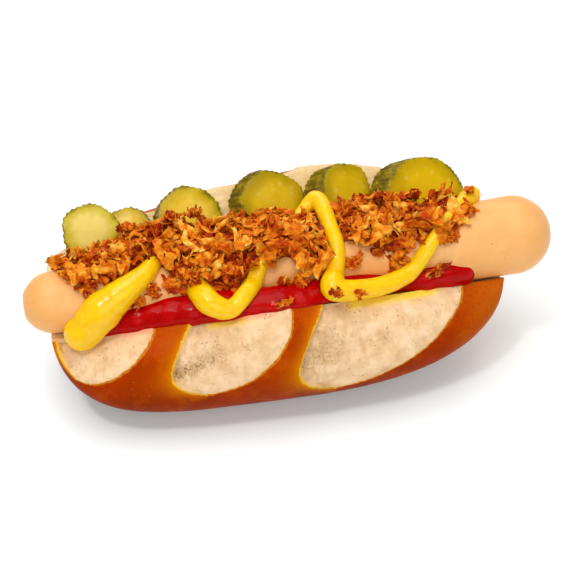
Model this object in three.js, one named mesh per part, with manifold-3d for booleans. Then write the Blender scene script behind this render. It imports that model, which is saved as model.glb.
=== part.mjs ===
// A dressed hot dog: a scored lye roll, cut open along its top, holds one long pale sausage with ketchup,
// a zigzag of mustard, a row of gherkin slices against the far side and a heap of crisp fried onions.
// Millimetres and degrees. +X runs along the roll, +Y to the side with the gherkins, +Z up.
// The origin is the middle of the roll's flat underside.
import * as THREE from "three";
import { mergeVertices } from "three/addons/utils/BufferGeometryUtils.js";
import Module from "manifold-3d";

// Roll
const ROLL_LENGTH = 171;
const ROLL_STATIONS = 32;
const ROLL_STEPS = 20; // faces round the crust, and as many across the cut
const BASE_SINK = 1.0; // how much of the round belly is pressed flat
// Half width and height of the two rims, where they stand highest and at the roll's left and right tips. The
// far rim stands highest a little to the right.
const NEAR_RIM = {
  mid: [-23.2, 47.5],
  left: [-12.2, 34],
  right: [-13.9, 39.7],
  shape: 1.55,
  blunt: 1.29,
  skew: 0,
};
const FAR_RIM = {
  mid: [42, 58],
  left: [22, 37.5],
  right: [13, 34],
  shape: 1.8,
  blunt: 0.5,
  skew: 0.32,
};
// The left end is the blunter one
const END_BLUNTNESS = { left: 5.2, right: 2.7 };
// The crust's outline across the middle of the roll, between the near rim and the far rim
const BELLY = [
  [-33.5, 40],
  [-39, 27],
  [-36, 13.5],
  [-25.2, 3.8],
  [-11.5, -0.4],
  [14, -0.5],
  [32, 3],
  [46, 14],
  [51.5, 30],
  [49.5, 46],
];
// The round seat under the sausage, and the shares of the cut face that lie nearer and farther than it
const SEAT = { gap: 0.6, from: 232, to: 312, nearShare: 0.25, farShare: 0.5 };

// Slashes across the crust: the two ends at the rim, how far the slash reaches down each side, how far its
// steep edge leans for each millimetre down, how far that edge comes back in at the foot, and how round
// the other edge is
const SLASHES = [
  { left: -83.5, right: -48, reach: 28, lean: 0, foot: 5.5, bow: 1, fall: 1.7 },
  { left: -34.6, right: 2.1, reach: 29.5, lean: 0.55, foot: 2.6, bow: 0.55, fall: 2 },
  { left: 13.7, right: 68, reach: 37, lean: 0.55, foot: 2.3, bow: 0.65, fall: 2 },
];
const SLASH_DEPTH = { most: 3, steep: 0.8, foot: 0.6 };
const SLASH_GRID = { along: 9, down: 8, crowding: 1.6 };
const SLASH_FORM = { footBend: 6, narrowest: 0.5 };
const SLOPE_STEP = { along: 0.002, down: 0.004 }; // small steps that give the slope of the crust
const SLASH_HEADROOM = 4; // how far the cutting shape stands above the crust and past the rim
const SLASH_STOP = 0.985; // the share of the roll's half length that a slash may reach

// Sausage
const SAUSAGE = {
  x: 3.6,
  halfSpan: 87,
  radius: 13.2,
  taper: 1.85,
  y: 1,
  bendY: -2,
  z: 43,
  rise: 3.25,
  lift: 3.1,
};

// Ketchup, from left to right: place along the roll, half width and half height. It reaches a little over
// the near rim and lies a little above it.
const KETCHUP = [
  [-66, 5.4, 4.2],
  [-50, 6.8, 5.2],
  [-32, 6.8, 5],
  [-10, 5.6, 2.8],
  [8, 5.2, 2.4],
  [30, 5.2, 2.8],
  [46, 4.2, 3.6],
  [58, 5.2, 7.4],
  [69, 4.8, 8],
];
const KETCHUP_SEAT = { over: 0.6, up: 0.6, uneven: 0.12, pace: 1.4, phase: 1.7 };
const KETCHUP_ACROSS = [0, 1, 0.25]; // it leans up towards the sausage

// Mustard
const MUSTARD = { radius: 3.1, up: 0.35, feel: 3, lowest: 36, underRim: 2 };
const MUSTARD_ACROSS = [0.2, 0.3, 1]; // a direction in which the strand never runs
// Turning points of its zigzag, seen from above: x, y, how thick the strand is there, and how far it climbs
// from the sausage onto what fills the gap behind it
const MUSTARD_TURNS = [
  [-74, -14.5, 2.05, 0],
  [-66, -12, 2.3, 0],
  [-57.5, -9, 1.75, 0],
  [-49.5, -4.5, 1.3, 0],
  [-43.5, 1.5, 0.75, 0],
  [-36, 3, 0.5, 0],
  [-32, -3, 0.8, 0],
  [-30.5, -10, 1.4, 0],
  [-27, -18.5, 1.5, 0],
  [-19, -21, 1.05, 0],
  [-13, -16, 1.15, 0],
  [-8.5, -8.5, 1.0, 0],
  [0, 1, 0.5, 0],
  [11, 14, 0.7, 0.8],
  [18.5, 20, 1.25, 1],
  [21, 6.5, 1.05, 1],
  [22, -5.5, 1.0, 0],
  [19, -14, 1.3, 0],
  [18, -19.5, 1.5, 0],
  [28, -20, 1.2, 0],
  [39.5, -18, 1.1, 0],
  [48, -14.5, 1.05, 0],
  [55.5, -10, 0.9, 0],
  [61, -5, 0.75, 0],
  [67.5, 2, 0.6, 0.4],
  [74, 8, 1.2, 0.9],
  [77.5, 12, 1.3, 0.8],
];
// What fills the gap between the sausage and the gherkins: the middle, half width and rise of its round top
const BEHIND = { y: 12, z: 50, reach: 15, rise: 9.5 };

// Gherkin slices: place along the roll, how far the middle lies below the far rim, how far it stands off
// the bread, width, height as a share of the width, thickness, turn to the side, lean away from the bread,
// how far the back lies to the left of the front, as the slice is cut aslant, and the back's share of the
// front's size
const GHERKINS = [
  { x: -67, drop: -0.3, off: 4, size: 21.5, tall: 0.97, thick: 3, turn: 4, lean: 5, slant: 0, back: 1 },
  { x: -53, drop: 4.9, off: 2.4, size: 18.5, tall: 0.97, thick: 2.6, turn: -4, lean: 0, slant: 0, back: 1 },
  { x: -29.5, drop: 9.2, off: 3.4, size: 25.5, tall: 0.97, thick: 3.2, turn: 4, lean: 2, slant: 1, back: 1 },
  { x: 1, drop: 12, off: 5, size: 26, tall: 1, thick: 5, turn: 10, lean: 3, slant: 5, back: 0.95 },
  { x: 28.5, drop: 12.5, off: 5, size: 20, tall: 1.1, thick: 6, turn: 12, lean: 3, slant: 8, back: 0.82 },
  { x: 60, drop: 9.3, off: 6, size: 32, tall: 0.78, thick: 6, turn: 10, lean: 3, slant: 6, back: 1 },
];
const GHERKINS_FRONT_FIRST = [0, 2, 3, 4, 5, 1];
const GHERKIN_SIDES = 26;
const GHERKIN_LOBES = { three: 0.025, five: 0.02, bend: 0.35, phase: 2.1 };

// Fried onions. The heap lies over the sausage like a blanket: its thickness at each angle round the
// sausage's axis, from the far side to the near one
const HEAP = {
  from: -82,
  to: 76,
  stations: 28,
  steps: 8,
  farAngle: 15,
  root: 3, // how far its foot lies inside the sausage before the two are cut apart
  uneven: 1.2,
  pace: 3,
  phase: 0.6,
  blunt: 6,
  steepest: 0.95, // the sine of the steepest slope that its near edge may reach
};
const HEAP_PROFILE = [
  [15, 6.5],
  [40, 7.8],
  [60, 5.4],
  [90, 3.6],
  [120, 2.4],
  [155, 1],
];
// How thick it is along the roll, as a share of that
const HEAP_FULLNESS = [
  [-82, 0.7],
  [-62, 0.65],
  [-48, 1.25],
  [-25, 1.2],
  [0, 1],
  [30, 0.78],
  [76, 0.45],
];
// The heap's ragged near edge, seen from above
const HEAP_EDGE = [
  [-85, 9],
  [-76, -3.5],
  [-61, -5.5],
  [-47, 1],
  [-42, -2],
  [-35, -10],
  [-23, -12],
  [-16, -11.5],
  [-8, -7],
  [3, -4.5],
  [8, -7],
  [13, -11],
  [18, -9],
  [26, -3],
  [31.5, -4],
  [38, -9],
  [46, -11],
  [56, -7],
  [62.5, -10],
  [71, -4],
  [76, 0],
];
const FLAKES = {
  count: 60,
  fromEnds: 3,
  overNearEdge: 4, // degrees
  fromFarEdge: 10, // degrees
  long: [6, 12],
  wide: [2.4, 5],
  thick: [1.0, 1.5],
  narrowing: 0.45,
  curl: 2.2,
  twist: 0.9,
  tilt: 0.7,
};
const CLEARANCE = 0.6; // how far a piece is cut back from the ones it rests on
const FINEST_EDGE = 0.15; // slivers under this size are smoothed away
const SAME_PLACE = 1e-3; // points closer than this are one

const COLOURS = {
  roll: { color: 0xb4541a, roughness: 0.4 },
  sausage: { color: 0xf0b478, roughness: 0.45 },
  ketchup: { color: 0xaa0a08, roughness: 0.15 },
  mustard: { color: 0xf7c813, roughness: 0.3 },
  gherkin: { color: 0xcdaf28, roughness: 0.3 },
  onions: { color: 0xc87820, roughness: 0.7 },
};

const wasm = await Module();
wasm.setup();

// A repeatable stream of numbers from 0 to 1.
const STREAM = { seed: 4711, factor: 16807, limit: 2147483647 };
let streamState = STREAM.seed;
function random() {
  streamState = (streamState * STREAM.factor) % STREAM.limit;
  return streamState / STREAM.limit;
}
const between = (low, high) => low + (high - low) * random();

// A slow wave along the roll, from three sines that never quite repeat.
const WAVES = [
  [0.061, 1],
  [0.143, 2.3],
  [0.317, 4.1],
];
function wobble(t, phase) {
  const waves = WAVES.map(([pace, share]) => Math.sin(t * pace + phase * share));
  return waves.reduce((a, b) => a + b) / waves.length;
}

// The row of a table at the given first value, between the two rows on either side of it.
function rowAt(table, value) {
  const last = table.length - 1;
  const held = THREE.MathUtils.clamp(value, table[0][0], table[last][0]);
  const next = Math.max(1, table.findIndex((row) => row[0] >= held));
  const [before, after] = [table[next - 1], table[next]];
  const share = (held - before[0]) / (after[0] - before[0]);
  return before.map((number, k) => THREE.MathUtils.lerp(number, after[k], share));
}

// The middle and radius of the sausage at x: it lies deepest in the roll's middle, and its right end is
// the thicker and the higher one.
function sausageAt(x) {
  const s = THREE.MathUtils.clamp((x - SAUSAGE.x) / SAUSAGE.halfSpan, -1, 1);
  return {
    y: SAUSAGE.y + SAUSAGE.bendY * s * s,
    z: SAUSAGE.z + SAUSAGE.rise * s * s + SAUSAGE.lift * s,
    radius: SAUSAGE.radius + SAUSAGE.taper * s,
  };
}

// A rim's place at u, which runs from -1 to 1 along the roll.
function rimAt(rim, u) {
  const shifted = u - rim.skew * (1 - u * u);
  const arch = (1 - Math.min(1, Math.abs(shifted)) ** rim.shape) ** rim.blunt;
  const tip = u < 0 ? rim.left : rim.right;
  return new THREE.Vector2(...tip).lerp(new THREE.Vector2(...rim.mid), arch);
}

// A point of the round seat under the sausage.
function seatAt(u, degrees) {
  const { y, z, radius } = sausageAt((u * ROLL_LENGTH) / 2);
  const angle = THREE.MathUtils.degToRad(degrees);
  const reach = radius + SEAT.gap;
  return new THREE.Vector2(y + reach * Math.cos(angle), z + reach * Math.sin(angle));
}

// The cut face across the roll at u: v runs from 0 at the near rim to 1 at the far rim.
function cutFace(u, v) {
  const { nearShare, farShare, from, to } = SEAT;
  if (v < nearShare) return rimAt(NEAR_RIM, u).lerp(seatAt(u, from), v / nearShare);
  if (v > farShare) return seatAt(u, to).lerp(rimAt(FAR_RIM, u), (v - farShare) / (1 - farShare));
  return seatAt(u, THREE.MathUtils.mapLinear(v, nearShare, farShare, from, to));
}

// The crust across the roll at u: the belly's outline in the middle, drawn in to the cut face at the tips.
const bellyInner = BELLY.map(([y, z]) => new THREE.Vector2(y, z));
const belly = new THREE.SplineCurve([rimAt(NEAR_RIM, 0), ...bellyInner, rimAt(FAR_RIM, 0)]);
const bellyLength = belly.getLength();
function crust(u, v) {
  const bluntness = u < 0 ? END_BLUNTNESS.left : END_BLUNTNESS.right;
  const full = Math.sqrt(1 - Math.min(1, Math.abs(u) ** bluntness));
  const inner = cutFace(u, v);
  const out = belly.getPointAt(v).sub(cutFace(0, v)).multiplyScalar(full).add(inner);
  out.y = Math.max(0, out.y - BASE_SINK * full * (1 - Math.abs(2 * v - 1)));
  return new THREE.Vector3((u * ROLL_LENGTH) / 2, out.x, out.y);
}

// A mesh through rings of points. The two end rings are pinched flat, so it closes when it is welded.
function loft(rings) {
  const count = rings[0].length;
  const vertices = rings.flat();
  const faces = [];
  for (let i = 0; i < rings.length - 1; i++)
    for (let j = 0; j < count; j++) {
      const a = i * count + j;
      const b = i * count + ((j + 1) % count);
      faces.push(a, b, a + count, b, b + count, a + count);
    }
  const geometry = new THREE.BufferGeometry();
  const numbers = vertices.flatMap((p) => p.toArray());
  geometry.setAttribute("position", new THREE.Float32BufferAttribute(numbers, 3));
  geometry.setIndex(faces);
  return geometry;
}

// Position-only copy of a geometry whose shared vertices are one, without the faces that this closes up.
function welded(geometry) {
  const bare = geometry.clone();
  for (const name of Object.keys(bare.attributes)) if (name !== "position") bare.deleteAttribute(name);
  const joined = mergeVertices(bare, SAME_PLACE);
  const faces = [];
  for (let i = 0; i < joined.index.count; i += 3) {
    const [a, b, c] = joined.index.array.subarray(i, i + 3);
    if (a !== b && b !== c && c !== a) faces.push(a, b, c);
  }
  joined.setIndex(faces);
  return joined;
}

function solid(geometry) {
  const g = welded(geometry);
  const mesh = new wasm.Mesh({
    numProp: 3,
    vertProperties: new Float32Array(g.attributes.position.array),
    triVerts: new Uint32Array(g.index.array),
  });
  return new wasm.Manifold(mesh);
}

// The same surface moved outwards by the clearance, to cut a neighbour with.
function swollen(geometry) {
  const g = welded(geometry);
  g.computeVertexNormals();
  const { position, normal } = g.attributes;
  for (let i = 0; i < position.count; i++) {
    const out = new THREE.Vector3().fromBufferAttribute(normal, i);
    const p = new THREE.Vector3().fromBufferAttribute(position, i).addScaledVector(out, CLEARANCE);
    position.setXYZ(i, p.x, p.y, p.z);
  }
  return solid(g);
}

function fromSolid(manifold) {
  const m = manifold.getMesh();
  const places = [];
  for (let i = 0; i < m.numVert; i++) {
    const start = i * m.numProp;
    places.push(...m.vertProperties.subarray(start, start + 3));
  }
  const geometry = new THREE.BufferGeometry();
  geometry.setAttribute("position", new THREE.Float32BufferAttribute(places, 3));
  geometry.setIndex(Array.from(m.triVerts));
  return geometry;
}

// The largest single body of a solid, which leaves out the scraps of a cut.
function largest(manifold) {
  return manifold.decompose().reduce((a, b) => (a.volume() > b.volume() ? a : b));
}

// A capsule drawn along a path: place(t) gives the middle of the strand, and size(t) its two half widths,
// along the direction across(t) and square to it.
function strand({ from, to, steps, sides, caps, place, size, across }) {
  const span = to - from;
  const capsule = new THREE.CapsuleGeometry(1, steps, caps, sides, steps);
  const points = capsule.attributes.position;
  const half = steps / 2;
  for (let i = 0; i < points.count; i++) {
    const along = THREE.MathUtils.clamp(points.getY(i), -half, half);
    const beyond = points.getY(i) - along;
    const t = from + (span * (along + half)) / steps;
    const step = span * 1e-3;
    const ahead = place(Math.min(to, t + step)).sub(place(Math.max(from, t - step))).normalize();
    const side = across(t).clone().addScaledVector(ahead, -across(t).dot(ahead)).normalize();
    const up = side.clone().cross(ahead);
    const [wide, high] = size(t);
    const p = place(t)
      .addScaledVector(ahead, beyond * Math.min(wide, high))
      .addScaledVector(side, points.getX(i) * wide)
      .addScaledVector(up, points.getZ(i) * high);
    points.setXYZ(i, p.x, p.y, p.z);
  }
  return capsule;
}

// Roll
function rollGeometry() {
  const rings = [];
  for (let i = 0; i <= ROLL_STATIONS; i++) {
    const u = Math.sin(THREE.MathUtils.mapLinear(i, 0, ROLL_STATIONS, -0.5, 0.5) * Math.PI);
    const ring = [];
    for (let j = 0; j < ROLL_STEPS; j++) ring.push(crust(u, j / ROLL_STEPS));
    for (let j = ROLL_STEPS; j > 0; j--) {
      const p = cutFace(u, j / ROLL_STEPS);
      ring.push(new THREE.Vector3((u * ROLL_LENGTH) / 2, p.x, p.y));
    }
    rings.push(ring);
  }
  return loft(rings);
}

// The shape that cuts one slash on one side of the roll. One edge is steep and deep, and the other runs out
// level with the crust. On the far side the slash goes on turned half round.
function slashGeometry({ left, right, reach, lean, foot, bow, fall }, far) {
  const { along, down, crowding } = SLASH_GRID;
  const place = (a, s, lift) => {
    const t = Math.max(0, s) / reach;
    const steep = left - lean * t * reach + (lean * reach + foot) * t ** SLASH_FORM.footBend;
    const level = left + foot + (right - left - foot) * (1 - Math.min(1, t ** fall)) ** bow;
    const across = THREE.MathUtils.lerp(steep, Math.max(level, steep + SLASH_FORM.narrowest), a);
    const x = far ? left + right - across : across;
    const u = THREE.MathUtils.clamp((2 * x) / ROLL_LENGTH, -SLASH_STOP, SLASH_STOP);
    const v = Math.max(0, s) / bellyLength;
    const at = (shareX, shareV) => crust(shareX, far ? 1 - shareV : shareV);
    const alongX = at(u + SLOPE_STEP.along, v).sub(at(u - SLOPE_STEP.along, v));
    const downV = at(u, v + SLOPE_STEP.down).sub(at(u, v)).normalize();
    const normal = alongX.cross(downV).normalize();
    if (!far) normal.negate();
    return at(u, v).addScaledVector(downV, Math.min(0, s)).addScaledVector(normal, lift);
  };
  const { most, steep: steepShare, foot: shallower } = SLASH_DEPTH;
  const depth = (a, t) => {
    const section = THREE.MathUtils.lerp(1 - a, (1 - a) ** 3, steepShare);
    return most * section * (1 - shallower * Math.max(0, t) ** 3);
  };
  const rings = [];
  for (let i = 0; i <= along; i++) {
    const a = (i / along) ** crowding;
    const open = i > 0 && i < along ? 1 : 0;
    const ring = [];
    const distance = (j) => THREE.MathUtils.mapLinear(j, 0, down, -SLASH_HEADROOM, reach);
    for (let j = 0; j <= down; j++) ring.push(place(a, distance(j), SLASH_HEADROOM * open));
    for (let j = down; j >= 0; j--) {
      const s = distance(j);
      ring.push(place(a, s, -depth(a, s / reach) * open));
    }
    rings.push(ring);
  }
  return loft(rings);
}

// Sausage
function sausageGeometry() {
  return strand({
    from: SAUSAGE.x - SAUSAGE.halfSpan,
    to: SAUSAGE.x + SAUSAGE.halfSpan,
    steps: 14,
    sides: 20,
    caps: 5,
    place: (t) => {
      const s = sausageAt(t);
      return new THREE.Vector3(t, s.y, s.z);
    },
    size: (t) => [sausageAt(t).radius, sausageAt(t).radius],
    across: () => new THREE.Vector3(0, 1, 0),
  });
}

// Ketchup: one thick line between the sausage and the near rim.
function ketchupAt(x) {
  const near = rimAt(NEAR_RIM, (2 * x) / ROLL_LENGTH);
  const [, wide, high] = rowAt(KETCHUP, x);
  const swell = 1 + KETCHUP_SEAT.uneven * wobble(x * KETCHUP_SEAT.pace, KETCHUP_SEAT.phase);
  return {
    y: near.x + wide * swell - KETCHUP_SEAT.over,
    z: near.y + KETCHUP_SEAT.up,
    wide: wide * swell,
    high: high * swell,
  };
}

function ketchupGeometry(extra = 0) {
  return strand({
    from: KETCHUP[0][0],
    to: KETCHUP.at(-1)[0],
    steps: 24,
    sides: 10,
    caps: 3,
    place: (t) => new THREE.Vector3(t, ketchupAt(t).y, ketchupAt(t).z),
    size: (t) => [ketchupAt(t).wide + extra, ketchupAt(t).high + extra],
    across: () => new THREE.Vector3(...KETCHUP_ACROSS),
  });
}

// The height of what lies under the mustard at x, y: sausage, ketchup or near rim, and behind the sausage
// what fills the gap.
function heightUnder(x, y, climb) {
  const s = sausageAt(x);
  const k = ketchupAt(x);
  const dome = (middle, height, reach, rise) => {
    const off = Math.min(1, Math.abs((y - middle) / reach));
    return off < 1 ? height + rise * Math.sqrt(1 - off * off) : MUSTARD.lowest;
  };
  const low = Math.max(
    dome(s.y, s.z, s.radius, s.radius),
    dome(k.y, k.z, k.wide, k.high),
    rimAt(NEAR_RIM, (2 * x) / ROLL_LENGTH).y - MUSTARD.underRim,
    MUSTARD.lowest,
  );
  const high = Math.max(low, dome(BEHIND.y, BEHIND.z, BEHIND.reach, BEHIND.rise));
  return THREE.MathUtils.lerp(low, high, climb);
}

// Mustard: one zigzag strand that lies on the sausage, dips to the ketchup and climbs to the gherkins.
const mustardPlan = new THREE.CatmullRomCurve3(
  MUSTARD_TURNS.map(([x, y]) => new THREE.Vector3(x, y, 0)),
  false,
  "centripetal",
);
const lastTurn = MUSTARD_TURNS.length - 1;
const mustardSizes = MUSTARD_TURNS.map(([, , thick, climb], i) => [i / lastTurn, thick, climb]);
function mustardAt(t) {
  const p = mustardPlan.getPoint(t);
  const [, thick, climb] = rowAt(mustardSizes, t);
  const radius = MUSTARD.radius * thick;
  // It is too stiff to follow what is finer than its own width
  const spread = [-0.5, -0.25, 0, 0.25, 0.5].map((k) => heightUnder(p.x, p.y + MUSTARD.feel * k, climb));
  const height = spread.reduce((a, b) => a + b) / spread.length;
  return { middle: new THREE.Vector3(p.x, p.y, height + MUSTARD.up * radius), radius };
}

function mustardGeometry(extra = 0) {
  return strand({
    from: 0,
    to: 1,
    steps: 70,
    sides: 7,
    caps: 2,
    place: (t) => mustardAt(t).middle,
    size: (t) => [mustardAt(t).radius + extra, mustardAt(t).radius + extra],
    across: () => new THREE.Vector3(...MUSTARD_ACROSS),
  });
}

// A gherkin slice: an uneven disc set against the far slope, cut aslant from a gherkin that narrows.
function gherkinGeometry(g, index) {
  const disc = new THREE.CylinderGeometry(g.size / 2, g.size / 2, g.thick, GHERKIN_SIDES, 1);
  const points = disc.attributes.position;
  const u = (2 * g.x) / ROLL_LENGTH;
  const rim = rimAt(FAR_RIM, u);
  const foot = seatAt(u, SEAT.to);
  const slope = new THREE.Vector3(0, rim.x - foot.x, rim.y - foot.y).normalize();
  const out = new THREE.Vector3(0, -slope.z, slope.y);
  const across = new THREE.Vector3(1, 0, 0);
  const middle = new THREE.Vector3(g.x, rim.x, rim.y);
  middle.addScaledVector(slope, -g.drop).addScaledVector(out, g.off);
  const turn = new THREE.Matrix4()
    .makeBasis(across, out, slope.clone().negate())
    .multiply(new THREE.Matrix4().makeRotationZ(THREE.MathUtils.degToRad(-g.turn)))
    .multiply(new THREE.Matrix4().makeRotationX(THREE.MathUtils.degToRad(g.lean)));
  const { three, five, bend, phase } = GHERKIN_LOBES;
  for (let i = 0; i < points.count; i++) {
    const angle = Math.atan2(points.getZ(i), points.getX(i));
    const reach = Math.hypot(points.getX(i), points.getZ(i)) / (g.size / 2);
    const lobes = 1 + three * Math.cos(3 * angle + index * phase) + five * Math.cos(5 * angle + index);
    const front = points.getY(i) / g.thick;
    const share = lobes * THREE.MathUtils.lerp(g.back, 1, front + 0.5);
    const p = new THREE.Vector3(
      points.getX(i) * share + g.slant * front,
      points.getY(i) + bend * Math.cos(2 * angle + index) * reach,
      points.getZ(i) * share * g.tall,
    );
    p.applyMatrix4(turn).add(middle);
    points.setXYZ(i, p.x, p.y, p.z);
  }
  return disc;
}

// The heap at x: the angle round the sausage at which its near edge lies, and its outside and foot at any
// angle.
function heapAt(x) {
  const { y, z, radius } = sausageAt(x);
  const middle = (HEAP.from + HEAP.to) / 2;
  const out = (x - middle) / (HEAP.to - middle);
  const full = Math.sqrt(1 - Math.min(1, Math.abs(out)) ** HEAP.blunt);
  const [, edge] = rowAt(HEAP_EDGE, x);
  const [, fullness] = rowAt(HEAP_FULLNESS, x);
  const nearAngle = THREE.MathUtils.radToDeg(Math.acos(Math.max(-HEAP.steepest, (edge - y) / radius)));
  const place = (degrees, thick) => {
    const angle = THREE.MathUtils.degToRad(degrees);
    const reach = radius - HEAP.root + (HEAP.root + thick) * full;
    return new THREE.Vector3(x, y + reach * Math.cos(angle), z + reach * Math.sin(angle));
  };
  const outside = (degrees) => {
    const [, thick] = rowAt(HEAP_PROFILE, degrees);
    const lump = HEAP.uneven * wobble(x * HEAP.pace + degrees, HEAP.phase);
    return place(degrees, thick * fullness + lump);
  };
  return { nearAngle, outside, inside: (degrees) => place(degrees, -HEAP.root) };
}

function heapGeometry() {
  const rings = [];
  for (let i = 0; i <= HEAP.stations; i++) {
    const x = THREE.MathUtils.mapLinear(i, 0, HEAP.stations, HEAP.from, HEAP.to);
    const { nearAngle, outside, inside } = heapAt(x);
    const angle = (j) => THREE.MathUtils.mapLinear(j, 0, HEAP.steps, HEAP.farAngle, nearAngle);
    const ring = [];
    for (let j = 0; j <= HEAP.steps; j++) ring.push(outside(angle(j)));
    for (let j = HEAP.steps; j >= 0; j--) ring.push(inside(angle(j)));
    rings.push(ring);
  }
  return loft(rings);
}

// One curled flake of fried onion, lying on the heap at x and at an angle round it.
function flakeGeometry(x, degrees) {
  const long = between(...FLAKES.long);
  const flake = new THREE.BoxGeometry(long, between(...FLAKES.wide), between(...FLAKES.thick), 3);
  const points = flake.attributes.position;
  const curl = between(-FLAKES.curl, FLAKES.curl);
  const twist = between(-FLAKES.twist, FLAKES.twist);
  const lie = THREE.MathUtils.degToRad(degrees - 90);
  const tilt = () => between(-FLAKES.tilt, FLAKES.tilt);
  const set = new THREE.Matrix4().makeRotationFromEuler(
    new THREE.Euler(lie + tilt(), tilt(), between(0, Math.PI), "XYZ"),
  );
  const middle = heapAt(x).outside(degrees);
  for (let i = 0; i < points.count; i++) {
    const share = points.getX(i) / (long / 2);
    const angle = twist * share;
    const narrow = 1 - FLAKES.narrowing * share * share;
    const y = points.getY(i) * narrow;
    const z = points.getZ(i);
    const p = new THREE.Vector3(
      points.getX(i),
      y * Math.cos(angle) - z * Math.sin(angle),
      y * Math.sin(angle) + z * Math.cos(angle) + curl * share * share,
    );
    p.applyMatrix4(set).add(middle);
    points.setXYZ(i, p.x, p.y, p.z);
  }
  return flake;
}

function onionSolid() {
  const pieces = [solid(heapGeometry())];
  for (let i = 0; i < FLAKES.count; i++) {
    const share = (i + random()) / FLAKES.count;
    const x = THREE.MathUtils.lerp(HEAP.from + FLAKES.fromEnds, HEAP.to - FLAKES.fromEnds, share);
    const [far, near] = [HEAP.farAngle + FLAKES.fromFarEdge, heapAt(x).nearAngle + FLAKES.overNearEdge];
    pieces.push(solid(flakeGeometry(x, between(far, near))));
  }
  return wasm.Manifold.union(pieces);
}

// Assembly: each piece is cut back from the ones under it.
const hotDog = new THREE.Group();
function add(name, look, manifold) {
  const body = largest(manifold.simplify(FINEST_EDGE));
  const mesh = new THREE.Mesh(fromSolid(body), new THREE.MeshStandardMaterial(COLOURS[look]));
  mesh.name = name;
  hotDog.add(mesh);
  return mesh.geometry;
}

const cuts = SLASHES.flatMap((slash) => [false, true].map((far) => solid(slashGeometry(slash, far))));
add("roll", "roll", solid(rollGeometry()).subtract(wasm.Manifold.union(cuts)));
add("sausage", "sausage", solid(sausageGeometry()));

const cutters = [swollen(rollGeometry()), swollen(sausageGeometry())];
const cutBack = (manifold) => cutters.reduce((left, cutter) => left.subtract(cutter), manifold);

// Front slices keep their shape, and the ones behind are cut by them.
for (const i of GHERKINS_FRONT_FIRST) {
  const geometry = gherkinGeometry(GHERKINS[i], i);
  add("gherkin_" + (i + 1), "gherkin", cutBack(solid(geometry)));
  cutters.push(swollen(geometry));
}

add("ketchup", "ketchup", cutBack(solid(ketchupGeometry())));
cutters.push(solid(ketchupGeometry(CLEARANCE)));

add("mustard", "mustard", cutBack(solid(mustardGeometry())));
cutters.push(solid(mustardGeometry(CLEARANCE)));

add("onions", "onions", cutBack(onionSolid()));

export default hotDog;
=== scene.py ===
"""A dressed hot dog in a scored lye roll: sausage, ketchup, mustard, gherkin slices and crisp fried onions.

Shapes are worked out in millimetres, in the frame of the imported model: +X along the roll, +Y to the side
with the gherkins, +Z up.
"""

import math
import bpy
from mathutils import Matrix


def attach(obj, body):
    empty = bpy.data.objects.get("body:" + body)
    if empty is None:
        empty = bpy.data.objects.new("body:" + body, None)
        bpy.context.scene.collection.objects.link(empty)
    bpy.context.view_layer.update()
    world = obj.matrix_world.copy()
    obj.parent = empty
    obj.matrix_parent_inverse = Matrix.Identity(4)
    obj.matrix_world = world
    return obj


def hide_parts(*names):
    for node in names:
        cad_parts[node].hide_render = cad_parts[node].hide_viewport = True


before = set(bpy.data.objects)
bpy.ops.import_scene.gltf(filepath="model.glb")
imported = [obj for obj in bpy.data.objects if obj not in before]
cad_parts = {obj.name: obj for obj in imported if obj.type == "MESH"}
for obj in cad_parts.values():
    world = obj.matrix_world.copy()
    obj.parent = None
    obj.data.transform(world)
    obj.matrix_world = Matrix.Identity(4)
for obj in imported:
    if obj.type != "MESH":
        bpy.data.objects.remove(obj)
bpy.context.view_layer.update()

from types import SimpleNamespace as Named

import bpy
import numpy as np
from mathutils import Matrix, Vector

MM = 0.001

# Slow waves (pace, share of the phase) and the lattice of the noise. Every RELIEF, SWELL and WAVER below is
# layers of noise: height, size of its lumps and seed.
WAVES = [(0.061, 1), (0.143, 2.3), (0.317, 4.1)]
LATTICE = Named(side=32, offset=11.3)

# Camera
AZIMUTH = -9.86
ELEVATION = 45.34
DISTANCE = 488.0
TARGET = (4.16, 4.0, 32.07)
LENS = 80.0
SENSOR = 36.0
NEAREST = 0.01  # nothing closer than this, in metres, is drawn

# Roll
ROLL_LENGTH = 171.0
BASE_SINK = 1.0
NEAR_RIM = Named(mid=(-23.2, 47.5), left=(-12.2, 34.0), right=(-13.9, 39.7), shape=1.55, blunt=1.29, skew=0.0)
FAR_RIM = Named(mid=(42.0, 58.0), left=(22.0, 37.5), right=(13.0, 34.0), shape=1.8, blunt=0.5, skew=0.32)
END_BLUNTNESS = Named(left=5.2, right=2.7)
BELLY_INNER = [
    (-33.5, 40), (-39, 27), (-36, 13.5), (-25.2, 3.8), (-11.5, -0.4), (14, -0.5), (32, 3), (46, 14),
    (51.5, 30), (49.5, 46),
]
BELLY_SAMPLES = 2001
SEAT = Named(gap=0.6, start=232.0, stop=312.0, near_share=0.25, far_share=0.5)
SLASHES = [
    Named(left=-83.5, right=-48, reach=28, lean=0.0, foot=5.5, bow=1.0, fall=1.7),
    Named(left=-34.6, right=2.1, reach=29.5, lean=0.55, foot=2.6, bow=0.55, fall=2.0),
    Named(left=13.7, right=68, reach=37, lean=0.55, foot=2.3, bow=0.65, fall=2.0),
]
SLASH_DEPTH = Named(most=3.0, steep=0.8, foot=0.6, edge=1.3)
SLASH_FOOT_BEND = 6
SLASH_NARROWEST = 0.5
SLASH_SLOPE = Named(step=0.01, most=4)  # how the slope of a slash's level edge is taken
SLASH_LIP = Named(wide=1.8, foot=3.4, end=1.12, full=0.9, high=0.35)
OUTSIDE = -30.0  # how far inside a slash the crust counts as being where there is none
INSIDE = 10.0  # and the cut face
ROLL_GRID = Named(rows=460, near=95, under=20, far=45, near_part=0.3, far_part=0.7)
CUT_GRID = Named(far=24, seat=9, near=17)
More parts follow.
